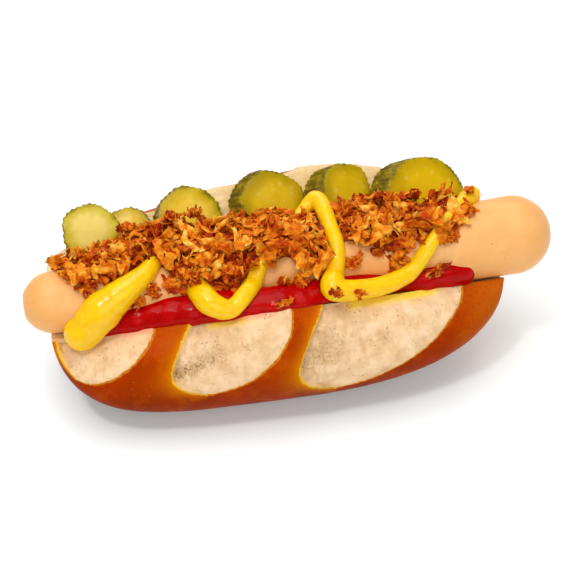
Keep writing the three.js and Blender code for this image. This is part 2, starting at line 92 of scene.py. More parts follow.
END_CROWDING = 0.4  # how much closer together the rows lie at the ends
NORMAL_STEP = 1e-3
EDGE_WAVER = [(0.5, 9, 5), (0.2, 3, 6)]
CRUMB_RELIEF = [(0.7, 10, 1), (0.35, 4.5, 2), (0.14, 2, 3)]
CRUMB = Named(start=-0.1, full=1.4, rise=0.35, crease=0.9)
SKIN_RELIEF = [(0.3, 24, 4), (0.08, 7, 7)]
GROUNDED = 4.0  # height over the floor up to which the relief fades
CUT_RELIEF = [(0.35, 5, 8), (0.25, 1.8, 9)]
CUT_SINK = Named(fade=0.06, by=0.35)
# Where mustard and ketchup have soaked into the near rim: from, to
STAINS = [(-31, -10), (20, 62)]
RED_STAINS = [(-64, -42), (-24, -2)]
STAIN = Named(start=5, end=8, mustard=4.6, ketchup=3.0)
# Creases in the crumb of the near slashes: x and z of both ends, width and depth. The crumb is sunk there and
# darkened with painted shade.
CREASES = [((-42.4, 31.0), (-26.5, 37.1), 2.4, 1.0), ((4.7, 31.4), (18.1, 37.2), 3.0, 0.55)]
CREASE_FADE = 0.4  # share of the depth that is lost on the way
TAN_TIP = 0.66  # from this share of the way to the right end the crust is lighter
CRUST_TONES = [
    (0.0, (184, 66, 0)), (0.12, (170, 50, 0)), (0.5, (156, 48, 0)), (0.8, (136, 44, 2)),
    (1.0, (116, 42, 10)),
]
CRUMB_TONES = [(0.3, (222, 178, 131)), (0.5, (240, 200, 153)), (0.72, (252, 217, 178))]
CRUST_RIM = (216, 126, 2)
CRUMB_RIM = (240, 190, 110)
# A bright ring along each slash's border, at its steep and its level edge: the crust's golden edge with
# painted light over it
STEEP_BRIM_PAINTED_LIGHT = (255, 206, 60)
LEVEL_BRIM_PAINTED_LIGHT = (226, 132, 16)
# Patches of other colours: each one's colour and its masks. A mask is noise, cells or a layer, what it is
# made from, and then either the share of it that counts, or the values between which it goes from 0 to 1 or
# from one given share to another.
# Masks of painted shade on the crumb along each slash's steep edge, where the crust overhangs it, and of
# darker spots in it
SHADED_STEEP_SIDE = ("layer", ["across"], (0.0, 0.36, 1, 0))
SHADED_FOLDS = ("noise", [7, 4, 0.6], (0.36, 0.64))
STREAKS = ("noise", [1.8, 4, 0.6, (1, 0.35, 0.35)], (0.46, 0.7, 0, 0.42))
# The crumb's pores: sunk by a bump, and darkened with painted shade
PORES = ("cells", [1.3], (0.1, 0.34, 1, 0))
PORE_FIELDS = ("noise", [5, 3], (0.5, 0.66))
CRUST_PATCHES = [
    ((192, 84, 0), ("noise", [9, 4, 0.6], (0.48, 0.7, 0, 0.4))),
    ((204, 106, 16), ("layer", ["tip"], 0.7)),
    ((112, 34, 0), ("noise", [1.1, 4, 0.7], (0.52, 0.68, 0, 0.38))),
    ((236, 160, 84), ("cells", [2.6], (0.04, 0.09, 0.4, 0))),
    ((128, 44, 6), ("cells", [1.5], (0.05, 0.14, 0.35, 0))),
    ((216, 130, 0), ("layer", ["lip"], 0.9)),
]
CRUMB_PATCHES = [
    # Painted shade in the pores
    ((176, 138, 92), PORES, ("noise", [5, 3], (0.5, 0.66, 0, 0.55))),
    # Painted shade along the steep edge
    ((178, 140, 98), SHADED_STEEP_SIDE, ("noise", [7, 4, 0.6], (0.36, 0.64, 0, 0.5))),
    # Darker spots in that shade, painted shade too
    ((130, 90, 48), SHADED_STEEP_SIDE, SHADED_FOLDS, ("noise", [1.1, 3, 0.6], (0.54, 0.64, 0, 0.4))),
    ((196, 150, 102), STREAKS, ("noise", [16, 2], (0.46, 0.62))),
    # Painted shade in the creases
    ((162, 124, 76), ("layer", ["crease"], 0.6), ("noise", [2.4, 5, 0.7], (0.36, 0.6, 0.3, 1))),
    # Darker pits in the creases, painted shade too
    ((104, 72, 30), ("layer", ["crease"], 0.75), ("noise", [0.9, 3, 0.6], (0.5, 0.6))),
]
SOAKED_PATCHES = [
    ((255, 214, 62), ("layer", ["stain"], 0.95)),
    ((236, 120, 104), ("layer", ["soaked"], 0.5)),
    ((250, 226, 150), ("layer", ["cut"], 0.4)),
]

# Sausage
SAUSAGE = Named(x=3.6, half=87.0, radius=13.2, taper=1.85, y=1.0, bend=-2.0, z=43.0, rise=3.25, lift=3.1)
SAUSAGE_GRID = Named(sides=112, rows=300, cap=26)
PLEATS = Named(count=13, sway=2, sways=3, left=0.045, right=0.012, start=0.35, full=0.95)
END_FLAT = Named(start=0.9, by=0.05)
NARROWEST_RING = 0.004
SAUSAGE_RELIEF = [(0.22, 18, 21), (0.06, 5, 22)]
SAUSAGE_TONES = [(0.3, (236, 164, 90)), (0.5, (243, 175, 101)), (0.72, (247, 188, 118))]
SAUSAGE_PATCHES = [
    ((226, 152, 84), ("noise", [3.2, 4, 0.6, (0.5, 1, 1)], (0.5, 0.75, 0, 0.25))),
    ((150, 92, 48), ("cells", [5.5], (0.035, 0.07, 0.6, 0))),
    ((240, 164, 108), ("layer", ["pucker"], (0.5, 1.0, 0, 0.25))),
]

# Strands of sauce
STRAND_CAP = Named(steps=10, narrowest=0.03)
VOXEL = 0.5
SOFTENING = 0.6

# Ketchup: place along the roll, half width and half height
KETCHUP = np.array([
    (-66, 5.4, 4.2), (-50, 6.8, 5.2), (-32, 6.8, 5), (-10, 5.6, 2.8), (8, 5.2, 2.4), (30, 5.2, 2.8),
    (46, 4.2, 3.6), (58, 5.2, 7.4), (69, 4.8, 8),
])
KETCHUP_SEAT = Named(over=0.6, up=0.6, uneven=0.12, pace=1.4, phase=1.7)
KETCHUP_TUCK = Named(start=6, full=16, last=46, end=56, by=1.8)  # it lies further in under the mustard
KETCHUP_ACROSS = (0, 1, 0.25)
KETCHUP_GRID = Named(rows=240, sides=40, passes=4)
KETCHUP_SWELL = [(0.08, 6, 31), (0.03, 2.5, 32)]
KETCHUP_RELIEF = [(0.4, 6, 33), (0.15, 2.4, 34)]
KETCHUP_TONES = [(0.3, (162, 0, 0)), (0.7, (190, 2, 0))]

# Mustard: x, y, how thick the strand is there and how far it climbs onto what lies behind the sausage
MUSTARD = Named(radius=3.1, up=0.35, lowest=36.0, under_rim=2.0)
MUSTARD_TURNS = np.array([
    (-74, -14.5, 2.05, 0), (-66, -12, 2.3, 0), (-57.5, -9, 1.75, 0), (-49.5, -4.5, 1.3, 0),
    (-43.5, 1.5, 0.75, 0), (-36, 3, 0.5, 0), (-32, -3, 0.8, 0), (-30.5, -10, 1.4, 0), (-27, -18.5, 1.5, 0),
    (-19, -21, 1.05, 0), (-13, -16, 1.15, 0), (-8.5, -8.5, 1.0, 0), (0, 1, 0.5, 0), (11, 14, 0.7, 0.8),
    (18.5, 20, 1.25, 1), (21, 6.5, 1.05, 1), (22, -5.5, 1.0, 0), (19, -14, 1.3, 0), (18, -19.5, 1.5, 0),
    (28, -20, 1.2, 0), (39.5, -18, 1.1, 0), (48, -14.5, 1.05, 0), (55.5, -10, 0.9, 0), (61, -5, 0.75, 0),
    (67.5, 2, 0.6, 0.4), (74, 8, 1.2, 0.9), (77.5, 12, 1.3, 0.8),
])
MUSTARD_FEELERS = (-1.5, -0.75, 0, 0.75, 1.5)  # how far to its sides it feels what it lies on
MUSTARD_ACROSS = (0.2, 0.3, 1)
MUSTARD_GRID = Named(samples=26, sides=28, passes=6)
MUSTARD_SWELL = [(0.08, 7, 41), (0.05, 3, 42)]
MUSTARD_TONES = [(0.3, (246, 188, 0)), (0.6, (253, 201, 2)), (0.8, (255, 212, 16))]
MUSTARD_ON_TOP = (8, 51)  # where along the roll it runs over the onions
FLAKE_GAP = 1.2  # how clear of it their middles lie there
BEHIND = Named(y=12.0, z=50.0, reach=15.0, rise=9.5)

# Gherkin slices
GHERKINS = [
    Named(x=-67, drop=-0.3, off=4, size=21.5, tall=0.97, thick=3, turn=4, lean=5, slant=0, back=1),
    Named(x=-53, drop=4.9, off=2.4, size=18.5, tall=0.97, thick=2.6, turn=-4, lean=0, slant=0, back=1),
    Named(x=-29.5, drop=9.2, off=3.4, size=25.5, tall=0.97, thick=3.2, turn=4, lean=2, slant=1, back=1),
    Named(x=1, drop=12, off=5, size=26, tall=1, thick=5, turn=10, lean=3, slant=5, back=0.95),
    Named(x=28.5, drop=12.5, off=5, size=20, tall=1.1, thick=6, turn=12, lean=3, slant=8, back=0.82),
    Named(x=60, drop=9.3, off=6, size=32, tall=0.78, thick=6, turn=10, lean=3, slant=6, back=1),
]
LOBES = Named(three=0.025, five=0.02, bend=0.35, phase=2.1)
GHERKIN_GRID = Named(sides=200, rings=16, band=9, innermost=0.002, outermost=0.985)
RIND = Named(bulge=0.012, round=0.25, round_from=0.85, warts_from=0.93, scallop=2.3, scallop_high=0.2)
# Warts and pimples of the rind: height, size and first seed
WARTS = (0.35, 2.4, 50)
PIMPLES = (0.35, 1.5, 80)
FACE_RELIEF = [(0.3, 6, 60)]
FACE_SHIFT = 9
# The colour in the middle of each slice's face, and of its outer ring
GHERKIN_TONES = [
    ((228, 203, 104), (200, 178, 42)),
    ((230, 192, 62), (192, 162, 20)),
    ((236, 200, 62), (196, 164, 10)),
    ((212, 178, 24), (180, 148, 2)),
    ((210, 174, 12), (178, 146, 2)),
    ((218, 180, 10), (190, 154, 2)),
]
UNDER_RIND_TONES = [(0.96, (164, 142, 12)), (1.0, (124, 106, 6))]
RIND_TONES = [(0.25, (78, 62, 4)), (0.5, (118, 98, 8)), (0.75, (166, 140, 24))]
SEED_TONE = (246, 222, 128)

# Fried onions: a blanket over the sausage, with its thickness at each angle round the sausage's axis and
# its near edge seen from above
HEAP = Named(start=-82.0, end=76.0, far_angle=15.0, root=3.0, blunt=6, steepest=0.95)
HEAP_WAVE = Named(high=1.2, pace=3.0, phase=0.6)
HEAP_PROFILE = np.array([(15, 6.5), (40, 7.8), (60, 5.4), (90, 3.6), (120, 2.4), (155, 1)])
HEAP_FULLNESS = np.array([(-82, 0.7), (-62, 0.65), (-48, 1.25), (-25, 1.2), (0, 1), (30, 0.78), (76, 0.2)])
HEAP_EDGE = np.array([
    (-85, 9), (-76, -3.5), (-61, -5.5), (-47, 1), (-42, -2), (-35, -10), (-23, -12), (-16, -11.5), (-8, -7),
    (3, -4.5), (8, -7), (13, -11), (18, -9), (26, -3), (31.5, -4), (38, -9), (46, -11), (56, -7),
    (62.5, -10), (71, -4), (76, 0),
])
CORE_GRID = Named(rows=240, steps=34)
CORE = Named(low=0.45, swell=0.4, rim=0.12)
CORE_RELIEF = [(0.9, 4, 71), (0.7, 2, 72)]
# How the flakes lie on the heap: clear of its edges, in ridges, and paler the higher they lie: painted shade
# darkens the lower flakes, over a random tone of their own
PILE = Named(ends=2, near=5, far=0.02, ridge=(8.5, 73), sparse=-1.1, dense=0.1, lift=2.0)
PILE_SHADE_AND_TONE = Named(low=-2.4, high=3, by=0.5, least=-0.05, most=0.35)
FLAKE_GRID = Named(rows=9, columns=5)
SHRED_GRID = Named(rows=6, columns=3)
FLAKE_OUTLINE = Named(blunt=(1.6, 5), narrowest=0.15, ragged=0.25, along=0.07, aside=0.2, sweep=0.12)
FLAKE_CURL = Named(bend=0.95, least=0.05, cup=0.8, fold=0.5, fold_at=0.5, twist=0.5)
FLAKE_RIPPLES = Named(along=(2, 7), aside=(-2, 2), start=(0, 6), rough=0.2)
FLAKE_EDGE = Named(thinner=0.45, thinnest=0.35, pale=0.8)
# Kinds of flakes: how many, how far over the heap, how far they lean, their sizes and how crumpled they are
FLAKES = [
    Named(name="onion_leaves", count=280, over=(0.2, 2.4), lean=30, sizes=((8, 14), (2.2, 4.6), (0.4, 0.65)),
          grid=FLAKE_GRID, crumple=0.7, seed=7),
    Named(name="onion_flakes", count=740, over=(-1.2, 1.2), lean=38, sizes=((5, 9.5), (1.5, 3), (0.4, 0.7)),
          grid=FLAKE_GRID, crumple=0.5, seed=8),
    Named(name="onion_shreds", count=560, over=(-1.2, 1.6), lean=44, sizes=((2.4, 5), (1.0, 2.2), (0.4, 0.7)),
          grid=SHRED_GRID, crumple=0.3, seed=9),
    Named(name="onion_bits", lean=35, sizes=((2.4, 7), (1.2, 3.2), (0.4, 0.7)),
          grid=FLAKE_GRID, crumple=0.35, seed=10),
]
# Where the bits lie that have fallen off the heap: x, y, z, how widely they lie, and how many
LOOSE = [
    (-69, -6, 54.5, 3.0, 14), (-52, -10.7, 47.6, 2.6, 8), (-46, -9.2, 50.2, 3.0, 10),
    (-38.8, -7, 52.4, 3.4, 16), (-31, -9.9, 56.8, 3.2, 26), (-17, -8.4, 56.5, 3.6, 26),
    (-1.5, -22.2, 49.4, 3.6, 7), (1, -13.5, 50.4, 3.6, 12), (6.6, -14.2, 50.4, 4.4, 14),
    (18.7, -24, 53.4, 1.4, 5), (27.3, -23.5, 51.9, 1.2, 4), (27.3, -9.2, 53.8, 2.2, 16),
    (38, -7, 55.5, 2.4, 14), (43, -11.6, 52.4, 3.6, 20), (57, -15.7, 50.0, 2.8, 8),
    (63, -7.8, 59.2, 2.6, 22), (62, -3.5, 61.5, 2.0, 14), (69.3, -1.5, 62.0, 2.6, 18),
    (75.5, 8.5, 65.5, 1.0, 5), (-54, 17, 59.0, 2.4, 14), (-36, 19, 60.5, 3.0, 14), (-28, 20, 60.0, 2.6, 16),
    (35, 17, 59.6, 3.4, 28), (44, 17, 59.6, 3.2, 24), (54, 16, 60.2, 3.0, 24), (66, 13, 62.2, 2.2, 8),
]
LOOSE_OVER = (-0.3, 0.9)
LOOSE_TONE = (0.05, 0.65)
FRIED_TONES = [
    (0.0, (156, 36, 0)), (0.2, (194, 68, 0)), (0.45, (226, 116, 6)), (0.7, (243, 156, 30)),
    (1.0, (252, 206, 94)),
]
# The dark layer under the flakes, coloured as painted shade between them
BED_SHADE_TONES = [(0.35, (112, 22, 0)), (0.7, (186, 74, 2))]

# Studio: the lamps' places and sizes in metres, and their power in watts
LAMPS = [
    ("key", (-0.1, 0.08, 1.2), 1.0, 7.4),
    ("fill", (0.1, -1.1, 0.9), 1.2, 5.0),
    ("back", (0.1, 1.3, 1.0), 1.2, 6.5),
    ("spark", (-0.3, -0.2, 0.95), 0.11, 1.7),
]
SKY = Named(colour=(0.94, 0.99, 1, 1), strength=0.4)
FLOOR_REACH = 4000
FLOOR_TONES = [(0.0, (242, 242, 241.3)), (1.0, (244.4, 244.4, 243.7))]
# The floor also glows faintly cyan: painted light that lifts its shadows and takes the red bounce out of them
FLOOR_PAPER_AND_GLOW = dict(
    Roughness=0.7, Specular_IOR_Level=0.15, Emission_Color=(0.8, 1, 1, 1), Emission_Strength=0.14
)


def srgb(colour):
    """A colour given as 0 to 255 values of a picture, as linear light."""
    share = np.array(colour) / 255.0
    linear = np.where(share <= 0.04045, share / 12.92, ((share + 0.055) / 1.055) ** 2.4)
    return (*(float(v) for v in linear), 1.0)


def smooth(low, high, value):
    """0 below low, 1 above high, and an S-curve between them."""
    t = np.clip((value - low) / (high - low), 0, 1)
    return t * t * (3 - 2 * t)


def unit(vectors):
    length = np.linalg.norm(vectors, axis=-1, keepdims=True)
    return vectors / np.maximum(length, 1e-9)


def lump_noise(points, size, seed):
    """Smooth noise from -1 to 1 at each point, with lumps about size millimetres across."""
    side = LATTICE.side
    lattice = np.random.default_rng(seed).uniform(-1, 1, (side, side, side))
    place = np.asarray(points, float) / size + LATTICE.offset
    cell = np.floor(place).astype(int)
    share = place - cell
    share = share * share * (3 - 2 * share)
    total = np.zeros(len(place))
    for corner in range(8):
        step = np.array([corner & 1, (corner >> 1) & 1, (corner >> 2) & 1])
        weight = np.prod(np.where(step, share, 1 - share), axis=1)
        index = (cell + step) % side
        total += weight * lattice[index[:, 0], index[:, 1], index[:, 2]]
    return total


def relief(points, layers):
    """Layers of smooth noise, added up."""
    return sum(height * lump_noise(points, size, seed) for height, size, seed in layers)


def wobble(t, phase):
    """A slow wave along the roll, from sines that never quite repeat."""
    return sum(np.sin(t * pace + phase * share) for pace, share in WAVES) / len(WAVES)


def hermite(here, after, leave, arrive, w):
    """The place at the share w of a cubic from here to after, with its slopes at both ends."""
    cubic = 2 * here - 2 * after + leave + arrive
    square = -3 * here + 3 * after - 2 * leave - arrive
    return cubic * w**3 + square * w**2 + leave * w + here


def uniform_spline(points, share):
    """Points on the Catmull-Rom curve through points, at shares from 0 to 1."""
    last = len(points) - 1
    place = np.asarray(share, float) * last
    i = np.clip(np.floor(place).astype(int), 0, last - 1)
    w = (place - i)[:, None]
    before, here = points[np.maximum(i - 1, 0)], points[i]
    after, beyond = points[np.minimum(i + 1, last)], points[np.minimum(i + 2, last)]
    return hermite(here, after, (after - before) / 2, (beyond - here) / 2, w)


def sausage_at(x):
    """The y and z of the sausage's middle and its radius at x."""
    s = np.clip((np.asarray(x, float) - SAUSAGE.x) / SAUSAGE.half, -1, 1)
    y = SAUSAGE.y + SAUSAGE.bend * s * s
    z = SAUSAGE.z + SAUSAGE.rise * s * s + SAUSAGE.lift * s
    return y, z, SAUSAGE.radius + SAUSAGE.taper * s


def rim_at(rim, u):
    """A rim's y and z at u, which runs from -1 to 1 along the roll."""
    u = np.atleast_1d(np.asarray(u, float))
    shifted = u - rim.skew * (1 - u * u)
    arch = (1 - np.minimum(1, np.abs(shifted)) ** rim.shape) ** rim.blunt
    tip = np.where((u < 0)[:, None], rim.left, rim.right)
    return tip + (np.array(rim.mid) - tip) * arch[:, None]


def seat_at(u, degrees):
    """A point of the round seat under the sausage."""
    y, z, radius = sausage_at(u * ROLL_LENGTH / 2)
    angle = np.radians(degrees)
    reach = radius + SEAT.gap
    return np.stack([y + reach * np.cos(angle), z + reach * np.sin(angle)], -1)


def cut_face(u, v):
    """The cut across the roll: v runs from 0 at the near rim, down, round the seat and up to the far rim."""
    near, far = rim_at(NEAR_RIM, u), rim_at(FAR_RIM, u)
    low, high = SEAT.near_share, SEAT.far_share
    turn = np.clip((v - low) / (high - low), 0, 1)
    seat = seat_at(u, SEAT.start + (SEAT.stop - SEAT.start) * turn)
    down = np.clip(v / low, 0, 1)[:, None]
    up = np.clip((v - high) / (1 - high), 0, 1)[:, None]
    v = v[:, None]
    return np.where(v < low, near + (seat - near) * down, np.where(v > high, seat + (far - seat) * up, seat))


# The belly's outline, measured along its own length
BELLY = np.vstack([rim_at(NEAR_RIM, 0), BELLY_INNER, rim_at(FAR_RIM, 0)])
BELLY_SHARES = np.linspace(0, 1, BELLY_SAMPLES)
BELLY_STEPS = np.hypot(*np.diff(uniform_spline(BELLY, BELLY_SHARES), axis=0).T)
BELLY_RUN = np.concatenate([[0], np.cumsum(BELLY_STEPS)])
BELLY_LENGTH = BELLY_RUN[-1]


def belly(v):
    return uniform_spline(BELLY, np.interp(v * BELLY_LENGTH, BELLY_RUN, BELLY_SHARES))


def fullness(u):
    """How far the belly is filled out at u, from 1 in the middle to 0 at the tips."""
    bluntness = np.where(u < 0, END_BLUNTNESS.left, END_BLUNTNESS.right)
    return np.sqrt(1 - np.minimum(1, np.abs(u) ** bluntness))


def crust_at(u, v):
    """The outside of the roll: v runs from 0 at the near rim, round the belly, to 1 at the far rim."""
    full = fullness(u)
    place = (belly(v) - cut_face(np.zeros_like(u), v)) * full[:, None] + cut_face(u, v)
    place[:, 1] = np.maximum(0, place[:, 1] - BASE_SINK * full * (1 - np.abs(2 * v - 1)))
    return np.column_stack([u * ROLL_LENGTH / 2, place])


def slash_edges(slash, t):
    """The x of a slash's steep and level edges at the share t of its reach."""
    left, right, foot, drift = slash.left, slash.right, slash.foot, slash.lean * slash.reach
    steep = left - drift * t + (drift + foot) * t**SLASH_FOOT_BEND
    level = left + foot + (right - left - foot) * (1 - t ** slash.fall) ** slash.bow
    return steep, np.maximum(level, steep + SLASH_NARROWEST)


def slash_at(x, s, far):
    """How far inside a slash each point of the crust is, in millimetres, its share of the way from the steep
    edge, how deep the slash is there, and how near its steep edge is. s is the distance down from the rim."""
    inside = np.full(len(x), OUTSIDE)
    across = np.ones(len(x))
    depth = np.zeros(len(x))
    lip = np.zeros(len(x))
    step = SLASH_SLOPE.step
    for slash in SLASHES:
        place = slash.left + slash.right - x if far else x
        reach = slash.reach
        t = np.clip(s / reach, 0, 1)
        steep, level = slash_edges(slash, t)
        before, after = (slash_edges(slash, np.clip(t + k, 0, 1))[1] for k in (-step, step))
        slope = np.minimum(np.abs(after - before) / (2 * step * reach), SLASH_SLOPE.most)
        a = (place - steep) / (level - steep)
        edge = np.minimum(place - steep, (level - place) / np.sqrt(1 + slope**2))
        edge = np.minimum(edge, reach - s)
        here = (a > 0) & (a < 1) & (s < reach)
        share = SLASH_DEPTH.steep
        section = share * (1 - a) ** 3 + (1 - share) * (1 - a)
        dip = SLASH_DEPTH.most * section * (1 - SLASH_DEPTH.foot * t**3)
        depth = np.where(here, dip * smooth(0, SLASH_DEPTH.edge, edge), depth)
        across = np.where(edge > inside, np.clip(a, 0, 1), across)
        inside = np.maximum(inside, edge)
        width = SLASH_LIP.wide + SLASH_LIP.foot * t**2
        beside = np.where(place < steep, np.exp((place - steep) / width), 0)
        lip = np.maximum(lip, beside * smooth(SLASH_LIP.end, SLASH_LIP.full, s / reach))
    return inside, across, depth, lip


def grid_faces(rows, columns, close=False):
    """Four-cornered faces between rows of points."""
    i, j = np.meshgrid(np.arange(rows - 1), np.arange(columns if close else columns - 1), indexing="ij")
    a = i * columns + j
    b = i * columns + (j + 1) % columns
    return np.stack([a, b, b + columns, a + columns], -1).reshape(-1, 4)


def mesh_piece(name, vertices, faces, layers=None):
    """A mesh object from points in millimetres, with a named number at each point for its material."""
    mesh = bpy.data.meshes.new(name)
    faces = faces if isinstance(faces, list) else faces.tolist()
    mesh.from_pydata((np.asarray(vertices) * MM).tolist(), [], faces)
    for layer, values in (layers or {}).items():
        mesh.attributes.new(layer, "FLOAT", "POINT").data.foreach_set("value", np.asarray(values, np.float32))
    mesh.polygons.foreach_set("use_smooth", np.full(len(mesh.polygons), True))
    mesh.update()
    piece = bpy.data.objects.new(name, mesh)
    bpy.context.scene.collection.objects.link(piece)
    return piece


def remeshed(piece, passes):
    """The piece as one even skin, softened."""
    shell = piece.modifiers.new("one_skin", "REMESH")
    shell.mode = "VOXEL"
    shell.voxel_size = VOXEL * MM
    soft = piece.modifiers.new("soften", "SMOOTH")
    soft.factor = SOFTENING
    soft.iterations = passes
    evaluated = piece.evaluated_get(bpy.context.evaluated_depsgraph_get())
    mesh = bpy.data.meshes.new_from_object(evaluated)
    mesh.polygons.foreach_set("use_smooth", np.full(len(mesh.polygons), True))
    piece.modifiers.clear()
    piece.data = mesh
    return piece


class Material:
    """A node material put together step by step. Colours are tuples of 0 to 255 values."""

    def __init__(self, name, **settings):
        self.material = bpy.data.materials.new(name)
        self.material.use_nodes = True
        self.nodes = self.material.node_tree.nodes
        self.links = self.material.node_tree.links
        self.shader = self.nodes["Principled BSDF"]
        self.fill(self.shader, settings)
        self.place = self.nodes.new("ShaderNodeTexCoord").outputs["Object"]

    def put(self, value, socket):
        """Links the value to the input if it is a node's output, and else sets the input to it."""
        if isinstance(value, bpy.types.NodeSocket):
            self.links.new(value, socket)
        else:
            socket.default_value = value

    def fill(self, node, inputs):
        for name, value in inputs.items():
            self.put(value, node.inputs[name.replace("_", " ")])

    def node(self, kind, **inputs):
        node = self.nodes.new("ShaderNode" + kind)
        self.fill(node, inputs)
        return node

    def link(self, source, socket):
        self.links.new(source, self.shader.inputs[socket])

    def layer(self, name):
        node = self.node("Attribute")
        node.attribute_name = name
        return node.outputs["Fac"]

    def noise(self, size, detail=3.0, rough=0.55, stretch=None):
        """Noise from 0 to 1 whose lumps are about size millimetres across."""
        place = self.place
        if stretch:
            place = self.node("Mapping", Vector=place, Scale=stretch).outputs["Vector"]
        node = self.node("TexNoise", Vector=place, Scale=1 / (size * MM), Detail=detail, Roughness=rough)
        return node.outputs["Fac"]

    def cells(self, size):
        """Distance from the middle of the nearest cell, in cells about size millimetres across."""
        return self.node("TexVoronoi", Vector=self.place, Scale=1 / (size * MM)).outputs["Distance"]

    def spread(self, value, low, high, to_low=0.0, to_high=1.0):
        """An S-curve from to_low to to_high, while the value goes from low to high."""
        node = self.node("MapRange", Value=value, From_Min=low, From_Max=high, To_Min=to_low, To_Max=to_high)
        node.interpolation_type = "SMOOTHSTEP"
        return node.outputs["Result"]

    def maths(self, operation, *values):
        node = self.node("Math")
        node.operation = operation
        for value, socket in zip(values, node.inputs):
            self.put(value, socket)
        return node.outputs["Value"]

    def times(self, first, second):
        return self.maths("MULTIPLY", first, second)

    def plus(self, first, second):
        return self.maths("ADD", first, second)

    def ramp(self, value, stops):
        """A colour ramp through (place, colour) stops."""
        node = self.node("ValToRGB", Fac=value)
        elements = node.color_ramp.elements
        while len(elements) < len(stops):
            elements.new(0.5)
        for element, (place, colour) in zip(elements, stops):
            element.position = place
            element.color = srgb(colour)
        return node.outputs["Color"]

    def mix(self, share, first, second):
        """The first colour with a share of the second over it; each is a tuple or a node's output."""
        node = self.node("Mix")
        node.data_type = "RGBA"
        self.put(share, node.inputs["Factor"])
        colours = [socket for socket in node.inputs if socket.type == "RGBA"]
        for value, socket in zip((first, second), colours):
            self.put(srgb(value) if isinstance(value, tuple) else value, socket)
        return next(socket for socket in node.outputs if socket.type == "RGBA")

    def mask(self, source, made_from, share):
        """One mask of a patch."""
        value = {"noise": self.noise, "cells": self.cells, "layer": self.layer}[source](*made_from)
        return self.spread(value, *share) if isinstance(share, tuple) else self.times(value, share)

    def patched(self, tone, patches):
        """The tone with each patch's colour over it, where all of its masks are."""
        for colour, first, *others in patches:
            share = self.mask(*first)
            for other in others:
                share = self.times(share, self.mask(*other))
            tone = self.mix(share, tone, colour)
        return tone

    def bump(self, height, distance, strength=1.0):
        """Relief of the given height, in millimetres, over what is there already."""
        node = self.node("Bump", Height=height, Distance=distance * MM, Strength=strength)
        normal = self.shader.inputs["Normal"]
        if normal.is_linked:
            self.put(normal.links[0].from_socket, node.inputs["Normal"])
        self.put(node.outputs["Normal"], normal)

    def glow(self, weight, radius, scale=0.5):
        """Light that goes into the surface and comes out again near by."""
        for part, value in (("Weight", weight), ("Radius", radius), ("Scale", scale)):
            self.put(value, self.shader.inputs["Subsurface " + part])


def plain_material(name, noise, tones, **settings):
    """A material whose colour is patchy noise through the tones."""
    plain = Material(name, **settings)
    plain.link(plain.ramp(plain.noise(*noise), tones), "Base Color")
    return plain


def dressed(piece, material, *replaced, slot):
    piece.data.materials.clear()
    piece.data.materials.append(material.material)
    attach(piece, "root")
    if replaced:
        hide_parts(*replaced)
    return piece


# Roll
def soaked_at(stains, x, down, reach):
    """How far the near rim is soaked with sauce, from its distance down the crust or the cut."""
    along = np.zeros(len(x))
    for start, stop in stains:
        soaked = smooth(start, start + STAIN.start, x) * smooth(stop, stop - STAIN.end, x)
        along = np.maximum(along, soaked)
    return along * smooth(reach, reach / 3, down)


def creased_at(points):
    """How deep in a crease of the near slashes' crumb each point lies, from 0 to 1."""
    spots = points[:, [0, 2]]
    deep = np.zeros(len(points))
    for start, stop, width, share in CREASES:
        run = np.subtract(stop, start)
        part = np.clip((spots - start) @ run / (run @ run), 0, 1)
        off = np.linalg.norm(spots - start - part[:, None] * run, axis=1)
        deep = np.maximum(deep, share * (1 - CREASE_FADE * part) * np.exp(-((off / width) ** 2)))
    return deep * (points[:, 1] < 0)


def crust_points(u, v):
    """The crust with its slashes and relief, and the layers that its material uses."""
    points = crust_at(u, v)
    step = NORMAL_STEP
    along = crust_at(np.clip(u + step, -1, 1), v) - crust_at(np.clip(u - step, -1, 1), v)
    down = crust_at(u, np.minimum(v + step, 1)) - crust_at(u, np.maximum(v - step, 0))
    normal = unit(np.cross(down, along))
    near_s, far_s = v * BELLY_LENGTH, (1 - v) * BELLY_LENGTH
    x = points[:, 0] + relief(points, EDGE_WAVER)
    sides = [slash_at(x, near_s, False), slash_at(x, far_s, True)]
    inside, across, depth, lip = (np.where(v < 0.5, near, far) for near, far in zip(*sides))
    crumb = smooth(CRUMB.start, CRUMB.full, inside)
    creases = creased_at(points)
    crumb_rise = relief(points, CRUMB_RELIEF) + CRUMB.rise - CRUMB.crease * creases
    crust_rise = relief(points, SKIN_RELIEF) + SLASH_LIP.high * lip
    rise = crumb * crumb_rise + (1 - crumb) * crust_rise
    grounded = smooth(0, GROUNDED, points[:, 2])
    points += normal * (rise * fullness(u) * grounded - depth)[:, None]
    points[:, 2] = np.maximum(points[:, 2], 0)
    layers = {
        "inside": inside,
        "across": across,
        "cut": np.zeros(len(u)),
        "below": np.minimum(near_s, far_s),
        "lip": lip,
        # Where the crumb's creases get their painted shade
        "crease": creases,
        "tip": smooth(TAN_TIP, 1, u),
        "soaked": soaked_at(RED_STAINS, points[:, 0], near_s, STAIN.ketchup),
        "stain": soaked_at(STAINS, points[:, 0], near_s, STAIN.mustard),
    }
    return points, layers


def cut_points(u, v):
    """The rough face of the cut and the layers that its material uses."""
    low, high = SEAT.near_share, SEAT.far_share
    points = np.column_stack([u * ROLL_LENGTH / 2, cut_face(u, v)])
    off_seat = np.abs(v - (low + high) / 2) - (high - low) / 2
    points[:, 2] -= smooth(0, CUT_SINK.fade, off_seat) * (CUT_SINK.by + relief(points, CUT_RELIEF))
    down = v / low * np.linalg.norm(rim_at(NEAR_RIM, u) - seat_at(u, SEAT.start), axis=1)
    none, whole = np.zeros(len(u)), np.ones(len(u))
    layers = {
        "inside": whole * INSIDE,
        "across": whole,
        "cut": whole,
        "stain": soaked_at(STAINS, points[:, 0], down, STAIN.mustard),
    }
    return points, {**dict.fromkeys(("below", "lip", "crease", "tip", "soaked"), none), **layers}


